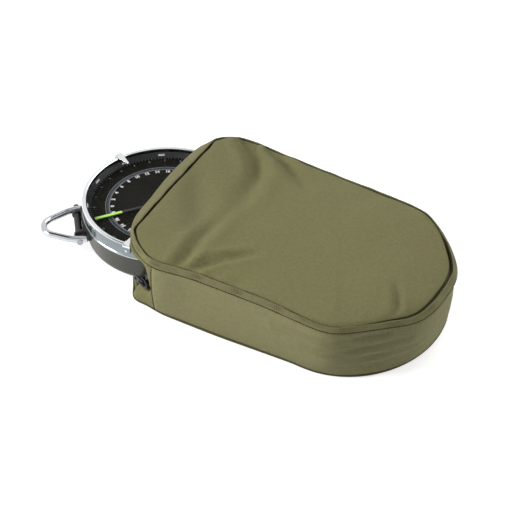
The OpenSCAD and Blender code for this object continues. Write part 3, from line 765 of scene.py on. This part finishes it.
def wall_inset(track, z):
    low, under = np.clip(1 - z / 34, 0, 1) ** 1.5, float(smoothstep(z, 45.5, 41))
    held = np.maximum(track.drawn, 0) * (track.n[:, 1] > 0) * (1 - smoothstep(track.x, 30, 72))
    inset = (foot_tuck(track) + held) * low - held * np.clip(1 - z / WALL_TOP, 0, 1) ** 0.8
    inset += HOLLOW_DEEP * np.exp(-(((track.s - HOLLOW_S) / HOLLOW_WIDE) ** 2)) * under * (1 - low)
    inset += CORNER_DEEP * np.exp(-(((track.s - CORNER_S) / CORNER_WIDE) ** 2) - ((z - 41) / 4) ** 2)
    inset += SEAM_PINCH * np.exp(-(((WALL_TOP - z) / 2.2) ** 2)) - BULGE * np.sin(np.pi * z / WALL_TOP)
    spots = np.column_stack([track.s, np.full(len(track.s), z)])
    for line, width, depth in WALL_FOLDS:
        inset = inset - fold(spots, line, width, depth, False)
    return inset


print("folds in the wall:", len(WALL_FOLDS))

# %% [markdown]
# ## Padded side wall
# The wall runs from one mouth seam round the closed end to the other. Its outer face is cloth and its inner
# face lining, so one closed sandwich stands for both.

# %% Padded side wall
WALL_HEIGHTS = (0.9, 2, 3.6, 5.8, 8.5, 11.5, 14.5, 17.5, 20.5, 23.5, 26.5, 29.5, 32.5, 35.5, 38.5,
                41, 43, 44.5, 45.6)
WALL_THICK, LINING_IN = 2.4, 5.0
wall_rows = [long_way.at(wall_inset(long_way, z), z) for z in WALL_HEIGHTS]
room, inner = LINING_IN - long_way.drawn, foot_tuck(long_way) + 2.6
wall_rows += [long_way.at(WALL_THICK, 46.1), long_way.at(np.maximum(room, 3.0), 45.0)]
for z in (40, 34, 27, 20):
    wall_rows.append(long_way.at(np.maximum(room, wall_inset(long_way, z) + WALL_THICK), z))
wall_rows += [long_way.at(np.maximum(room, 0.5 * (inner + wall_inset(long_way, 9) + WALL_THICK)), 9)]
wall_rows += [long_way.at(np.maximum(room, inner), 1.2)]
wall_finish = [1 if r >= len(WALL_HEIGHTS) + 1 else 0 for r in range(len(wall_rows))]
side_wall = make_piece(
    "side_wall", *loft(wall_rows, long_way.s, False, True, wall_finish), [lit_wall_cloth, lining_cloth])
settle(side_wall, "pouch", "olive_cloth", "side_gusset", "lining_wall")

# %% [markdown]
# ## Padded base
# The base is the same sandwich lying flat. Its edge meets the foot of the wall, so at the closed end it is
# smaller than the top. Only the lining side is seen, through the mouth, and the underside when it is lifted.

# %% Padded base
FLOOR_Z = 5.95
foot = foot_tuck(whole_way)
base_rows = [collapsed(whole_way.at(INNER_RING, 0.0), share, 0.0) for share in np.linspace(1, 0, 9)]
base_rows += [whole_way.at(foot + 6, 0.0), whole_way.at(foot + 2.2, 0.0), whole_way.at(foot + 1.2, 0.5)]
outside = len(base_rows)
base_rows += [whole_way.at(foot + 1.4, 1.2), whole_way.at(foot + 3.2, 2.6), whole_way.at(foot + 4.4, 5.2)]
floor_ring = whole_way.at(INNER_RING, FLOOR_Z)
base_rows += [whole_way.at(foot + 5.2, 5.9), floor_ring]
base_rows += [collapsed(floor_ring, share, FLOOR_Z) for share in np.linspace(0, 1, 9)[1:]]
base_finish = [0 if r < outside else 1 for r in range(len(base_rows) - 1)]
base_pad = make_piece(
    "base_pad", *loft(base_rows, whole_way.s, True, False, base_finish, True), [olive_cloth, lining_cloth])
settle(base_pad, "pouch", "olive_cloth", "base_panel", "base_foam", "lining_floor")

# %% [markdown]
# ## Lips of the mouth
# The zip splits the wall round the mouth into two lips. Seen from the side the gap closes at the seam and
# is wide where the scale comes out, and the lower lip steps down to a low sill under the scale's case. The
# upper lip sags and pouts a little at the front corner, pushed out by the scale. Each lip is a padded strip
# with a rolled edge, and its edge height is read from that side view at every station. The zip's tape needs
# the same gap without the width of its hem, so `wedge` can grow it.

# %% Gap of the mouth
GAP = [(-84, 22.5, 4.8), (-90, 34.6, 8), (-234, 34.6, 8), (-234, 22.5, 4.8)]
SILL_X, SILL_R, SILL_Z = -101.0, 6.0, 11.9


def wedge(track, grow):
    loop = np.array(even_loop(belt_line(GAP, grow, 0.2), 4000)[0])
    loop = np.roll(loop, -loop[:, 0].argmax(), axis=0)
    far = loop[:, 0].argmin()
    high, low = loop[:far + 1][::-1], loop[far:]
    step = 1 - smoothstep(track.x, SILL_X + 2, SILL_X + SILL_R + grow + 1.5)
    lip_top, sill = np.interp(track.x, low[:, 0], low[:, 1]), SILL_Z - SILL_R - grow
    return lip_top + (sill - lip_top) * step, np.interp(track.x, high[:, 0], high[:, 1])


HEM, LIP_CLEAR = 2.0, 0.05
SAG_X, SAG, SAG_WIDE = -91, 3.4, 6
low_edge, high_edge = wedge(mouth_way, HEM)
sag = SAG * np.exp(-((mouth_way.x - SAG_X) / SAG_WIDE) ** 2) * (mouth_way.p[:, 1] < 0)
low_edge, high_edge = low_edge - LIP_CLEAR, high_edge + LIP_CLEAR - sag
print("mouth opens by up to %.1f mm" % (high_edge - low_edge).max())

# %% [markdown]
# ## Lower lip
# The lower lip stands on the edge of the base and rolls over at its top. The height of its rows is a share of
# its edge height, so the strip tapers where the sill is low.

# %% Lower lip
LIP_THICK, LOW_BULGE = 4.8, 1.1
low_foot = foot_tuck(mouth_way)
tall = (low_edge - 1.0) / 15.0
low_rows = []
for f in (0, 0.1, 0.22, 0.36, 0.5, 0.64, 0.78, 0.89, 0.96):
    swing = low_foot * (1 - f ** 2.2) - LOW_BULGE * math.sin(math.pi * f) * tall
    low_rows.append(mouth_way.at(swing, 0.9 + (low_edge - 1.6) * f))
for inset, down in ((0.35, 0.3), (1.5, 0.0), (3.0, 0.15), (4.3, 0.9)):
    low_rows.append(mouth_way.at(inset, low_edge - down))
low_rows += [mouth_way.at(LIP_THICK, 1 + (low_edge - 1) * 0.4), mouth_way.at(LIP_THICK, 1.1)]
lip_low = make_piece(
    "lip_low", *loft(low_rows, mouth_way.s, False, True, [0] * 11 + [1] * 4), [shaded_lip_cloth, lining_cloth])
settle(lip_low, "pouch", "olive_cloth", "mouth_lip_lower")

# %% [markdown]
# ## Upper lip
# The upper lip hangs from the seam under the welt. It is the same strip turned over: its rows are shares of
# the drop from the seam to its edge, and the pout pushes them outwards more and more on the way down.

# %% Upper lip
POUT_X, POUT, POUT_WIDE, HIGH_BULGE = -97, 2.4, 8, 1.4
drop = 45.6 - high_edge
pout = POUT * np.exp(-((mouth_way.x - POUT_X) / POUT_WIDE) ** 2) * (mouth_way.p[:, 1] < 0)
high_rows = []
for f in (0, 0.15, 0.32, 0.5, 0.68, 0.84, 0.94):
    swing = 0.6 * (1 - f) ** 3 - HIGH_BULGE * math.sin(math.pi * f) * drop / 25
    swing = swing - pout * float(smoothstep(f, 0, 0.6))
    high_rows.append(mouth_way.at(swing, 45.7 - (drop - 0.5) * f))
high_rows += [mouth_way.at(0.25 - pout, high_edge + 0.3), mouth_way.at(1.5 - 0.6 * pout, high_edge)]
high_rows += [mouth_way.at(3.0, high_edge + 0.1), mouth_way.at(4.3, high_edge + 0.45)]
high_rows += [mouth_way.at(LIP_THICK, 45.5 - drop * 0.4), mouth_way.at(LIP_THICK, 45.5)]
lip_high = make_piece(
    "lip_high", *loft(high_rows, mouth_way.s, False, True, [0] * 9 + [1] * 4), [shaded_lip_cloth, lining_cloth])
settle(lip_high, "pouch", "olive_cloth", "mouth_lip_upper")

# %% [markdown]
# ## Welt strip and base binding
# The welt covers the seam between the top and the wall, and a narrow binding closes the foot. Both are one
# profile carried round the whole plan. Each point of the welt's profile is an inset that stays, a share of
# the welt's reach and a height. Two slow waves keep its line from looking drawn with a ruler.

# %% Welt strip and base binding
WELT = [
    (0.5, 0, 45.1), (-0.2, 0, 46.3), (-0.2, 0, 46.9), (0, 0.2, 48.1), (0, 0.45, 49.4), (0, 0.7, 50.4),
    (0, 0.9, 51.0), (0, 1.0, 50.9), (0.1, 1.0, 50.2), (-0.1, 0.95, 49.2), (-0.2, 0.8, 48.0), (0, 0.45, 46.6),
    (0.9, 0.1, 45.3)]
WELT_FOOT_Z, WELT_TALL = 47, 5
round_angle = whole_way.s * math.tau / around
wave = 0.18 * np.sin(round_angle * 23) + 0.14 * np.sin(round_angle * 41 + 1)
welt_rows = [
    whole_way.at(start + share * reach + wave * (0.4 if z < WELT_FOOT_Z else 1),
                 z - dip * max(0, z - WALL_TOP) / WELT_TALL)
    for start, share, z in WELT]
welt_strip = make_piece("welt_strip", *loft(welt_rows, whole_way.s, True, True), [welt_cloth])
settle(welt_strip, "pouch", "olive_cloth", "top_welt")

BINDING_IN, BINDING_Z, BINDING_HALF, BINDING_RISE = 0.35, 1.6, 1.25, 1.35
binding_rows = [
    whole_way.at(foot + BINDING_IN - BINDING_HALF * math.cos(a), BINDING_Z + BINDING_RISE * math.sin(a))
    for a in np.linspace(0, math.tau, 12, endpoint=False)]
foot_binding = make_piece("foot_binding", *loft(binding_rows, whole_way.s, True, True), [binding_cloth])
settle(foot_binding, "pouch", "binding", "base_binding")

# %% [markdown]
# ## A row of small things along a path
# Stitches, ribs, zip teeth and dial marks all repeat along a line. One Geometry Nodes tree makes them: it
# turns a chain of edges into a curve, spaces points evenly on it, and sets a small ball or bar on each. The
# bar's x runs along the line and its z along the `up` that each point carries, turned by a slant.

# %% Row tree
def row_tree(name, ball, material):
    tree = bpy.data.node_groups.new(name, "GeometryNodeTree")
    tree.is_modifier = True
    for title, kind in (("Path", "NodeSocketGeometry"), ("Count", "NodeSocketInt"),
                        ("Size", "NodeSocketVector"), ("Slant", "NodeSocketFloat")):
        tree.interface.new_socket(title, in_out="INPUT", socket_type=kind)
    tree.interface.new_socket("Row", in_out="OUTPUT", socket_type="NodeSocketGeometry")
    given = add(tree, "NodeGroupInput").outputs
    curve = add(tree, "GeometryNodeMeshToCurve", {"Mesh": given["Path"]}).outputs[0]
    spaced = add(tree, "GeometryNodeResampleCurve", {"Curve": curve, "Count": given["Count"]}).outputs[0]
    lift = add(tree, "GeometryNodeInputNamedAttribute", {"Name": "up"}, data_type="FLOAT_VECTOR").outputs[0]
    along = add(tree, "GeometryNodeInputTangent").outputs[0]
    turn = add(tree, "FunctionNodeAxesToRotation", {"Primary Axis": lift, "Secondary Axis": along},
               primary_axis="Z", secondary_axis="X").outputs[0]
    lean = add(tree, "FunctionNodeAxisAngleToRotation", {"Axis": (0, 0, 1), "Angle": given["Slant"]})
    turn = add(tree, "FunctionNodeRotateRotation", {"Rotation": turn, "Rotate By": lean.outputs[0]},
               rotation_space="LOCAL").outputs[0]
    if ball:
        bead = add(tree, "GeometryNodeMeshUVSphere", {"Segments": 8, "Rings": 5, "Radius": 0.5}).outputs[0]
    else:
        bead = add(tree, "GeometryNodeMeshCube", {"Size": (1, 1, 1)}).outputs[0]
    row = add(tree, "GeometryNodeInstanceOnPoints", {
        "Points": spaced, "Instance": bead, "Rotation": turn, "Scale": given["Size"]}).outputs[0]
    row = add(tree, "GeometryNodeRealizeInstances", {"Geometry": row}).outputs[0]
    row = add(tree, "GeometryNodeSetShadeSmooth", {"Geometry": row, "Shade Smooth": ball}).outputs[0]
    row = add(tree, "GeometryNodeSetMaterial", {"Geometry": row, "Material": material}).outputs[0]
    add(tree, "NodeGroupOutput", {"Row": row})
    return tree


print("row tree ready")

# %% [markdown]
# ## Rows
# A row starts as a chain of edges with its `up` on every point. The tree's inputs are set by the socket's
# identifier. The result is then made a plain mesh, and the chain with its modifier is thrown away.

# %% Rows
def as_mesh(rough):
    bpy.context.view_layer.update()
    mesh = bpy.data.meshes.new_from_object(rough.evaluated_get(bpy.context.evaluated_depsgraph_get()))
    bpy.data.objects.remove(rough)
    return mesh


def row_of(name, path, ups, closed, pitch, size, slant, ball, material, count=None):
    path, ups = np.array(path, float), np.array(ups, float)
    ups = ups / np.linalg.norm(ups, axis=1)[:, None]
    last = len(path) if closed else len(path) - 1
    chain = bpy.data.meshes.new(name + "_path")
    chain.from_pydata([tuple(p) for p in path], [(i, (i + 1) % len(path)) for i in range(last)], [])
    carried = chain.attributes.new("up", "FLOAT_VECTOR", "POINT")
    carried.data.foreach_set("vector", ups.astype(np.float32).ravel())
    run = np.linalg.norm(np.diff(np.vstack([path, path[:1]]) if closed else path, axis=0), axis=1).sum()
    guide = placed(name + "_path", chain)
    step = guide.modifiers.new("row", "NODES")
    step.node_group = row_tree(name, ball, material)
    sockets = {item.name: item.identifier for item in step.node_group.interface.items_tree
               if item.in_out == "INPUT"}
    step[sockets["Count"]] = count or max(2, round(run / pitch))
    step[sockets["Size"]] = tuple(float(v) for v in size)
    step[sockets["Slant"]] = float(slant)
    made = as_mesh(guide)
    made.name = name
    return placed(name, made)


print("rows ready")

# %% [markdown]
# ## Seams of the pouch
# Two dark lines of thread run along the welt, one on either side, and one up each mouth seam. The welt's
# tape has fine slanted ribs. All of them are rows along the plan.

# %% Seams of the pouch
def tilted(track, out, up_by):
    return np.column_stack([track.n * out, np.full(len(track.s), up_by)])


STITCH, STITCH_PITCH = (2.9 * MM, 1.1 * MM, 1.0 * MM), 2.6 * MM
UPRIGHT_STITCH, UPRIGHT_PITCH = (2.6 * MM, 0.9 * MM, 0.7 * MM), 2.4 * MM
RIB, RIB_PITCH, RIB_SLANT = (0.9 * MM, 4.6 * MM, 0.7 * MM), 1.5 * MM, math.radians(24)
THREAD_Z, THREAD_BACK, THREAD_ENDS = 50.3, 0.8, 1.7
thread_down = THREAD_BACK * smoothstep(whole_way.n[:, 1], 0.5, 0.9)
thread_z = THREAD_Z - thread_down * (1 - smoothstep(whole_way.x, 20, 70))
thread_z = thread_z - dip - THREAD_ENDS * smoothstep(np.abs(whole_way.n[:, 0]), 0.5, 0.9)
upper_seam = row_of("upper_seam", whole_way.at(reach + 0.6, thread_z), tilted(whole_way, 0.3, 1.0), True,
                    STITCH_PITCH, STITCH, 0.0, True, seam_thread)
settle(upper_seam, "pouch", "binding")
lower_seam = row_of("lower_seam", whole_way.at(-0.05, 45.6), tilted(whole_way, 1.0, 0.3), True,
                    STITCH_PITCH, STITCH, 0.0, True, seam_thread)
settle(lower_seam, "pouch", "binding")
rib_line, rib_ups = whole_way.at(0.46 * reach, 49.1 - 0.62 * dip), tilted(whole_way, 4.4, reach)
welt_ribs = row_of("welt_ribs", rib_line, rib_ups, True, RIB_PITCH, RIB, RIB_SLANT, True, welt_cloth)
settle(welt_ribs, "pouch", "olive_cloth")

SEAM_HEIGHTS = np.linspace(3.6, 44.6, 30)
for side, start in (("front", 0.0), ("back", BACK_S)):
    spot = Track([start, start + 0.01])
    path = [spot.at(wall_inset(spot, z) - 0.1, z)[0] for z in SEAM_HEIGHTS]
    ups = [tuple(spot.n[0]) + (0.0,)] * len(path)
    mouth_seam = row_of("mouth_seam_" + side, path, ups, False, UPRIGHT_PITCH, UPRIGHT_STITCH, 0.0,
                        True, seam_thread)
    settle(mouth_seam, "pouch", "binding", *(["seam_tapes"] if side == "front" else []))

# %% [markdown]
# ## Zip
# Each lip carries half of a coil zip: a woven tape with a row of plastic teeth on its free edge. The tape
# stands 2 mm out of the lip, and the teeth repeat along its edge.

# %% Zip
LEAST_GAP, TAPE_OUT, TAPE_IN = 1.5, 1.5, 2.4
TOOTH, TOOTH_PITCH = (0.8 * MM, 1.7 * MM, 1.5 * MM), 1.35 * MM
low_free, high_free = wedge(mouth_way, 0.0)
open_part = np.where(high_free - low_free > LEAST_GAP)[0]
gap_way = Track(mouth_way.s[open_part])
low_free, high_free = low_free[open_part], (high_free - sag)[open_part]
low_sewn, high_sewn = low_edge[open_part], high_edge[open_part]
for name, free, sewn, sense, node_name in (
        ("zip_low", low_free, low_sewn, -1, "zip_track_lower"),
        ("zip_high", high_free, high_sewn, 1, "zip_track_upper")):
    corners = ((TAPE_OUT, sewn), (TAPE_OUT, free), (TAPE_IN, free), (TAPE_IN, sewn))
    tape_rows = [gap_way.at(inset, z + 0.5 * sense) for inset, z in corners]
    tape = make_piece(name, *loft(tape_rows, gap_way.s, False, True), [zip_tape])
    settle(tape, "pouch", "zip_tape", node_name)
    teeth = row_of(name + "_teeth", gap_way.at(1.9, free + 0.55 * sense), tilted(gap_way, 1.0, 0.0), False,
                   TOOTH_PITCH, TOOTH, 0.0, True, black_plastic)
    settle(teeth, "pouch", "zip_tape")

# %% [markdown]
# ## Broken edges
# Pressed and milled pieces have no sharp edges: a small round on each edge is what catches the light. Such a
# piece is a copy of its CAD solid, merged into one skin, with a bevel on its edges.

# %% Broken edges
def broken_edges(name, node_name, width, material, body, slot):
    mesh = nodes[node_name].data.copy()
    mesh.name = name
    work = bmesh.new()
    work.from_mesh(mesh)
    bmesh.ops.remove_doubles(work, verts=work.verts, dist=1e-6)
    bmesh.ops.dissolve_limit(work, angle_limit=math.radians(1), verts=work.verts, edges=work.edges)
    for face in work.faces:
        face.smooth = True
        face.material_index = 0
    work.to_mesh(mesh)
    work.free()
    if mesh.has_custom_normals:
        mesh.normals_split_custom_set([(0, 0, 0)] * len(mesh.loops))
    mesh.materials.clear()
    mesh.materials.append(material)
    rough = placed(name + "_rough", mesh)
    bevel = rough.modifiers.new("edges", "BEVEL")
    bevel.width, bevel.segments = width, 2
    bevel.limit_method, bevel.angle_limit = "ANGLE", math.radians(35)
    bevel.harden_normals = True
    return settle(placed(name, as_mesh(rough)), body, slot, node_name)


broken_edges("slider_body", "zip_slider", 0.25 * MM, zip_metal, "zip_slider", "zip_metal")
broken_edges("slider_tab", "zip_pull", 0.2 * MM, zip_metal, "zip_pull", "zip_metal")
broken_edges("shackle_bracket", "top_bracket", 0.4 * MM, black_paint, "scale_case", "black_metal")
broken_edges("finger_lugs", "bezel_lugs", 0.25 * MM, bezel_chrome, "bezel", "chrome")

# %% [markdown]
# ## The scale's own axes
# The scale lies at an angle in the pouch. Its pieces are drawn along its own axes, with the shackle at -x and
# the hook at +x, and turned to their place by one helper.

# %% The scale's own axes
SCALE_AT, SCALE_TURN, AXIS_Z, PIN_X = (-117.3, -7.7), math.radians(41), 21.0, -69.0


def on_scale(points):
    points = np.atleast_2d(np.array(points, float))
    c, s = math.cos(SCALE_TURN), math.sin(SCALE_TURN)
    x = SCALE_AT[0] + c * points[:, 0] - s * points[:, 1]
    y = SCALE_AT[1] + s * points[:, 0] + c * points[:, 1]
    return np.column_stack([x, y, points[:, 2]]) * MM


def arc(middle, radius, start, stop, count):
    return [(middle[0] + radius * math.cos(a), middle[1] + radius * math.sin(a), AXIS_Z)
            for a in np.radians(np.linspace(start, stop, count))]


print("scale axes ready")

# %% [markdown]
# ## Tubes and rings
# Shackle and hook are bent from round bar, so one helper makes a tube along a line, with a radius for each
# station. Another turns a flat profile into a ring, and a third joins several shapes into one.

# %% Tubes and rings
def tube(path, radii, sides=24):
    path = np.array(path, float)
    ahead = np.gradient(path, axis=0)
    ahead /= np.linalg.norm(ahead, axis=1)[:, None]
    lift = np.array([0.0, 0.0, 1.0])
    side = np.cross(ahead, lift)
    side /= np.linalg.norm(side, axis=1)[:, None]
    high = np.cross(side, ahead)
    turn = np.linspace(0, math.tau, sides, endpoint=False)
    rings = path[:, None] + np.asarray(radii)[:, None, None] * (
        np.cos(turn)[None, :, None] * side[:, None] + np.sin(turn)[None, :, None] * high[:, None])
    faces = []
    for first in range(0, (len(path) - 1) * sides, sides):
        for k in range(sides):
            after = (k + 1) % sides
            faces.append([first + k, first + after, first + sides + after, first + sides + k])
    faces += [list(range(sides)), list(range((len(path) - 1) * sides, len(path) * sides))]
    return rings.reshape(-1, 3), faces


def turned_ring(profile, steps=64):
    count = len(profile)
    points = [(r * math.cos(a), r * math.sin(a), h)
              for a in np.linspace(0, math.tau, steps, endpoint=False) for r, h in profile]
    faces = [[i * count + k, i * count + (k + 1) % count, (i + 1) % steps * count + (k + 1) % count,
              (i + 1) % steps * count + k] for i in range(steps) for k in range(count)]
    return np.array(points), faces


def joined(*shapes):
    points, faces = [], []
    for own, sides in shapes:
        faces += [[i + len(points) for i in face] for face in sides]
        points += list(own)
    return np.array(points), faces


def plain_piece(name, points, faces, material):
    return make_piece(name, points, faces, None, [0] * len(faces), [material])


print("tubes and rings ready")

# %% [markdown]
# ## Shackle
# The shackle is a bent bar with two straight legs, a wide bend on either side and a tight one at its tip.
# Its line repeats the sizes of the CAD solid, with more stations and sides, because a bright bar shows every
# flat. One half is drawn and mirrored. The ends are drilled for the pin, which a Boolean cuts.

# %% Shackle
LEG_Y, TIP_R, TIP_X, LEAN, CORNER_R, BAR_R, BORE_R = 18.7, 11.0, -84.8, 28.0, 30.0, 2.9, 1.55
leg_end = (TIP_X - TIP_R * math.sin(math.radians(LEAN)), TIP_R * math.cos(math.radians(LEAN)))
corner_x = leg_end[0] + (LEG_Y - leg_end[1]) / math.tan(math.radians(LEAN))
bow_middle = (corner_x + CORNER_R * math.tan(math.radians(LEAN / 2)), LEG_Y - CORNER_R)
half_bow = [(PIN_X + x, LEG_Y, AXIS_Z) for x in (6, 5.7, 4.6)] + arc(bow_middle, CORNER_R, 90, 90 + LEAN, 24)
half_bow += arc((TIP_X, 0), TIP_R, 90 + LEAN, 180, 20)
bow = half_bow + [(x, -y, z) for x, y, z in half_bow[-2::-1]]
bow_radii = np.full(len(bow), BAR_R)
bow_radii[[0, -1]] -= 0.35
bow_points, bow_faces = tube(bow, bow_radii, 32)
solid_bow = plain_piece("solid_bow", on_scale(bow_points), bow_faces, chrome)
drill_points, drill_faces = tube([(PIN_X, y, AXIS_Z) for y in (-26, 0, 26)], [BORE_R] * 3)
drill = plain_piece("drill", on_scale(drill_points), drill_faces, chrome)
cut = solid_bow.modifiers.new("bore", "BOOLEAN")
cut.object, cut.operation, cut.solver = drill, "DIFFERENCE", "EXACT"
shackle_bar = placed("shackle_bar", as_mesh(solid_bow))
bpy.data.objects.remove(drill)
settle(shackle_bar, "shackle", "chrome", "shackle")

# %% [markdown]
# ## Hook
# The hook takes the load opposite the shackle, and here it lies hidden in the pouch. Its line leaves the
# swivel straight, runs into the bend through a short smooth neck, goes round most of a circle and ends in a
# tip that thickens and closes.

# %% Hook
NECK_X, BEND_X, BEND_R, HOOK_R = 78.4, 93.4, 11.0, 2.4
BEND_IN, BEND_FROM, BEND_OUT = 220, 225, 460


def heading(degrees):
    return np.array([math.cos(math.radians(degrees)), math.sin(math.radians(degrees)), 0])


def left_of(way):
    return np.array([-way[1], way[0], 0])


def on_neck(t):
    weights = ((1 - t) ** 3, 3 * t * (1 - t) ** 2, 3 * t * t * (1 - t), t ** 3)
    return sum(w * k for w, k in zip(weights, knots))


into = np.array([BEND_X, 0, 0]) + BEND_R * heading(BEND_IN)
lead = 3.2 * left_of(heading(BEND_IN))
knots = [np.array([NECK_X + 1.2, 0, 0]), np.array([NECK_X + 4, 0, 0]), into - lead, into]
hook_line = [np.array([NECK_X, 0, 0])] + [on_neck(t) for t in np.linspace(0, 1, 12)]
hook_line += [np.array(p) - (0, 0, AXIS_Z) for p in arc((BEND_X, 0), BEND_R, BEND_FROM, BEND_OUT, 48)]
tip_way = left_of(heading(BEND_OUT))
TIP = [(0.8, 0), (1.6, 0.38), (2.8, 0.5), (4, 0.3), (4.7, -0.2), (5.1, -0.8), (5.4, -1.5)]
hook_path = np.array(hook_line + [hook_line[-1] + far * tip_way for far, _ in TIP]) + (0, 0, AXIS_Z)
hook_radii = [HOOK_R] * len(hook_line) + [HOOK_R + more for _, more in TIP]
hook_points, hook_faces = tube(hook_path, hook_radii, 24)
hook_bar = plain_piece("hook_bar", on_scale(hook_points), hook_faces, chrome)
settle(hook_bar, "hook", "chrome", "hook")

# %% [markdown]
# ## Print on the dial
# The dial is black with pale print: pounds in a bold inner ring, sixty to a turn, and kilograms in a fainter
# outer one. Marks are bars set by the row tree on circles, and the bold bars on the sloping edge lean with
# it. Zero is on the shackle's side, and numbers grow clockwise.

# %% Print on the dial
PRINT_Z, PRINT_T, CIRCLE_STEPS = 33.4, 0.08, 720
POUNDS, KILOS, ZERO_AT = 60, 27.2, math.radians(176)


def dial_spot(radius, share):
    a = ZERO_AT - math.tau * share
    return radius * math.cos(a), radius * math.sin(a)


def marks(name, radius, count, width, length, material, z=PRINT_Z, slope=0.0):
    spots = [dial_spot(radius, k / CIRCLE_STEPS) for k in range(CIRCLE_STEPS)]
    path = on_scale([(x, y, z + PRINT_T / 2) for x, y in spots])
    ups = on_scale([(-slope * x / radius, -slope * y / radius, 1) for x, y in spots]) - on_scale([(0, 0, 0)])
    bar = (width * MM, length * MM, PRINT_T * MM)
    row = row_of(name, path, ups, True, 1, bar, 0.0, False, material, count)
    return settle(row, "bezel", "dial_black")


def ring_line(name, radius, width, material):
    near, far, top = radius - width / 2, radius + width / 2, PRINT_Z + PRINT_T
    points, faces = turned_ring([(near, PRINT_Z), (far, PRINT_Z), (far, top), (near, top)], 180)
    return settle(plain_piece(name, on_scale(points), faces, material), "bezel", "dial_black")


marks("kilo_marks", 58.4, 136, 0.3, 1.4, print_grey)
marks("bold_bars", 60.2, POUNDS // 5, 5.2, 1.5, print_white, 35.5, 1.82)
marks("pound_marks", 44.8, POUNDS * 4, 0.28, 1.7, print_grey)
ring_line("inner_ring_outer", 46.4, 0.5, print_grey)
ring_line("inner_ring_inner", 43.4, 0.7, print_grey)

# %% [markdown]
# ## Numbers on the dial
# Each number is text, made into a mesh first and then turned and laid at its place on the dial. All numbers
# of one ring are joined into one piece.

# %% Numbers on the dial
def number_mesh(words, size, bold):
    curve = bpy.data.curves.new("number", "FONT")
    curve.body, curve.size, curve.extrude, curve.resolution_u = words, size, PRINT_T / 2, 3
    curve.offset = bold
    curve.align_x, curve.align_y = "CENTER", "CENTER"
    mesh = as_mesh(placed("number", curve))
    return vertex_places(mesh), [list(face.vertices) for face in mesh.polygons]


def numbers(name, radius, values, per_turn, size, bold, material):
    shapes = []
    for value in values:
        flat, faces = number_mesh(str(value), size, bold)
        share = value / per_turn
        lean = ZERO_AT - math.tau * share - math.pi / 2
        x, y = dial_spot(radius, share)
        c, s = math.cos(lean), math.sin(lean)
        turned = np.column_stack([
            x + c * flat[:, 0] - s * flat[:, 1], y + s * flat[:, 0] + c * flat[:, 1],
            PRINT_Z + PRINT_T / 2 + flat[:, 2]])
        shapes.append((turned, faces))
    points, faces = joined(*shapes)
    return settle(plain_piece(name, on_scale(points), faces, material), "bezel", "dial_black")


numbers("pound_numbers", 40.9, range(0, POUNDS, 2), POUNDS, 3.9, 0.22, print_white)
numbers("kilo_numbers", 55.2, range(0, 27), KILOS, 2.9, 0.05, print_grey)

# %% [markdown]
# ## Finishes on the CAD solids
# The other solids already have the right shape, so they keep it and only get their finish.

# %% Finishes on the CAD solids
FINISHES = {
    case_paint: ["case_shell"],
    bezel_chrome: ["bezel"],
    chrome: ["lug_rivets", "swivel_collar", "hook_swivel"],
    steel: ["bracket_screws", "shackle_pin", "spring_anchor", "spring_left", "spring_right", "bridge_screws",
            "arbor", "load_rod", "crosshead", "rack"],
    brass: ["bridge_plate", "bridge_pillars", "front_bush", "rear_bush", "rod_bush", "pinion"],
    black_plastic: ["pin_sleeve", "chapter_ring", "pointer_arm", "pointer_cap"],
    dial_black: ["dial_plate"],
    lime_paint: ["pointer_tip"],
    nylon: ["rack_guide"],
    rubber: ["bezel_gasket"],
    clear_glass: ["glass"],
}
for material, names in FINISHES.items():
    for name in names:
        if not nodes[name].material_slots:
            nodes[name].data.materials.append(material)
        for place in nodes[name].material_slots:
            place.material = material
print("finished CAD solids:", sum(len(names) for names in FINISHES.values()))
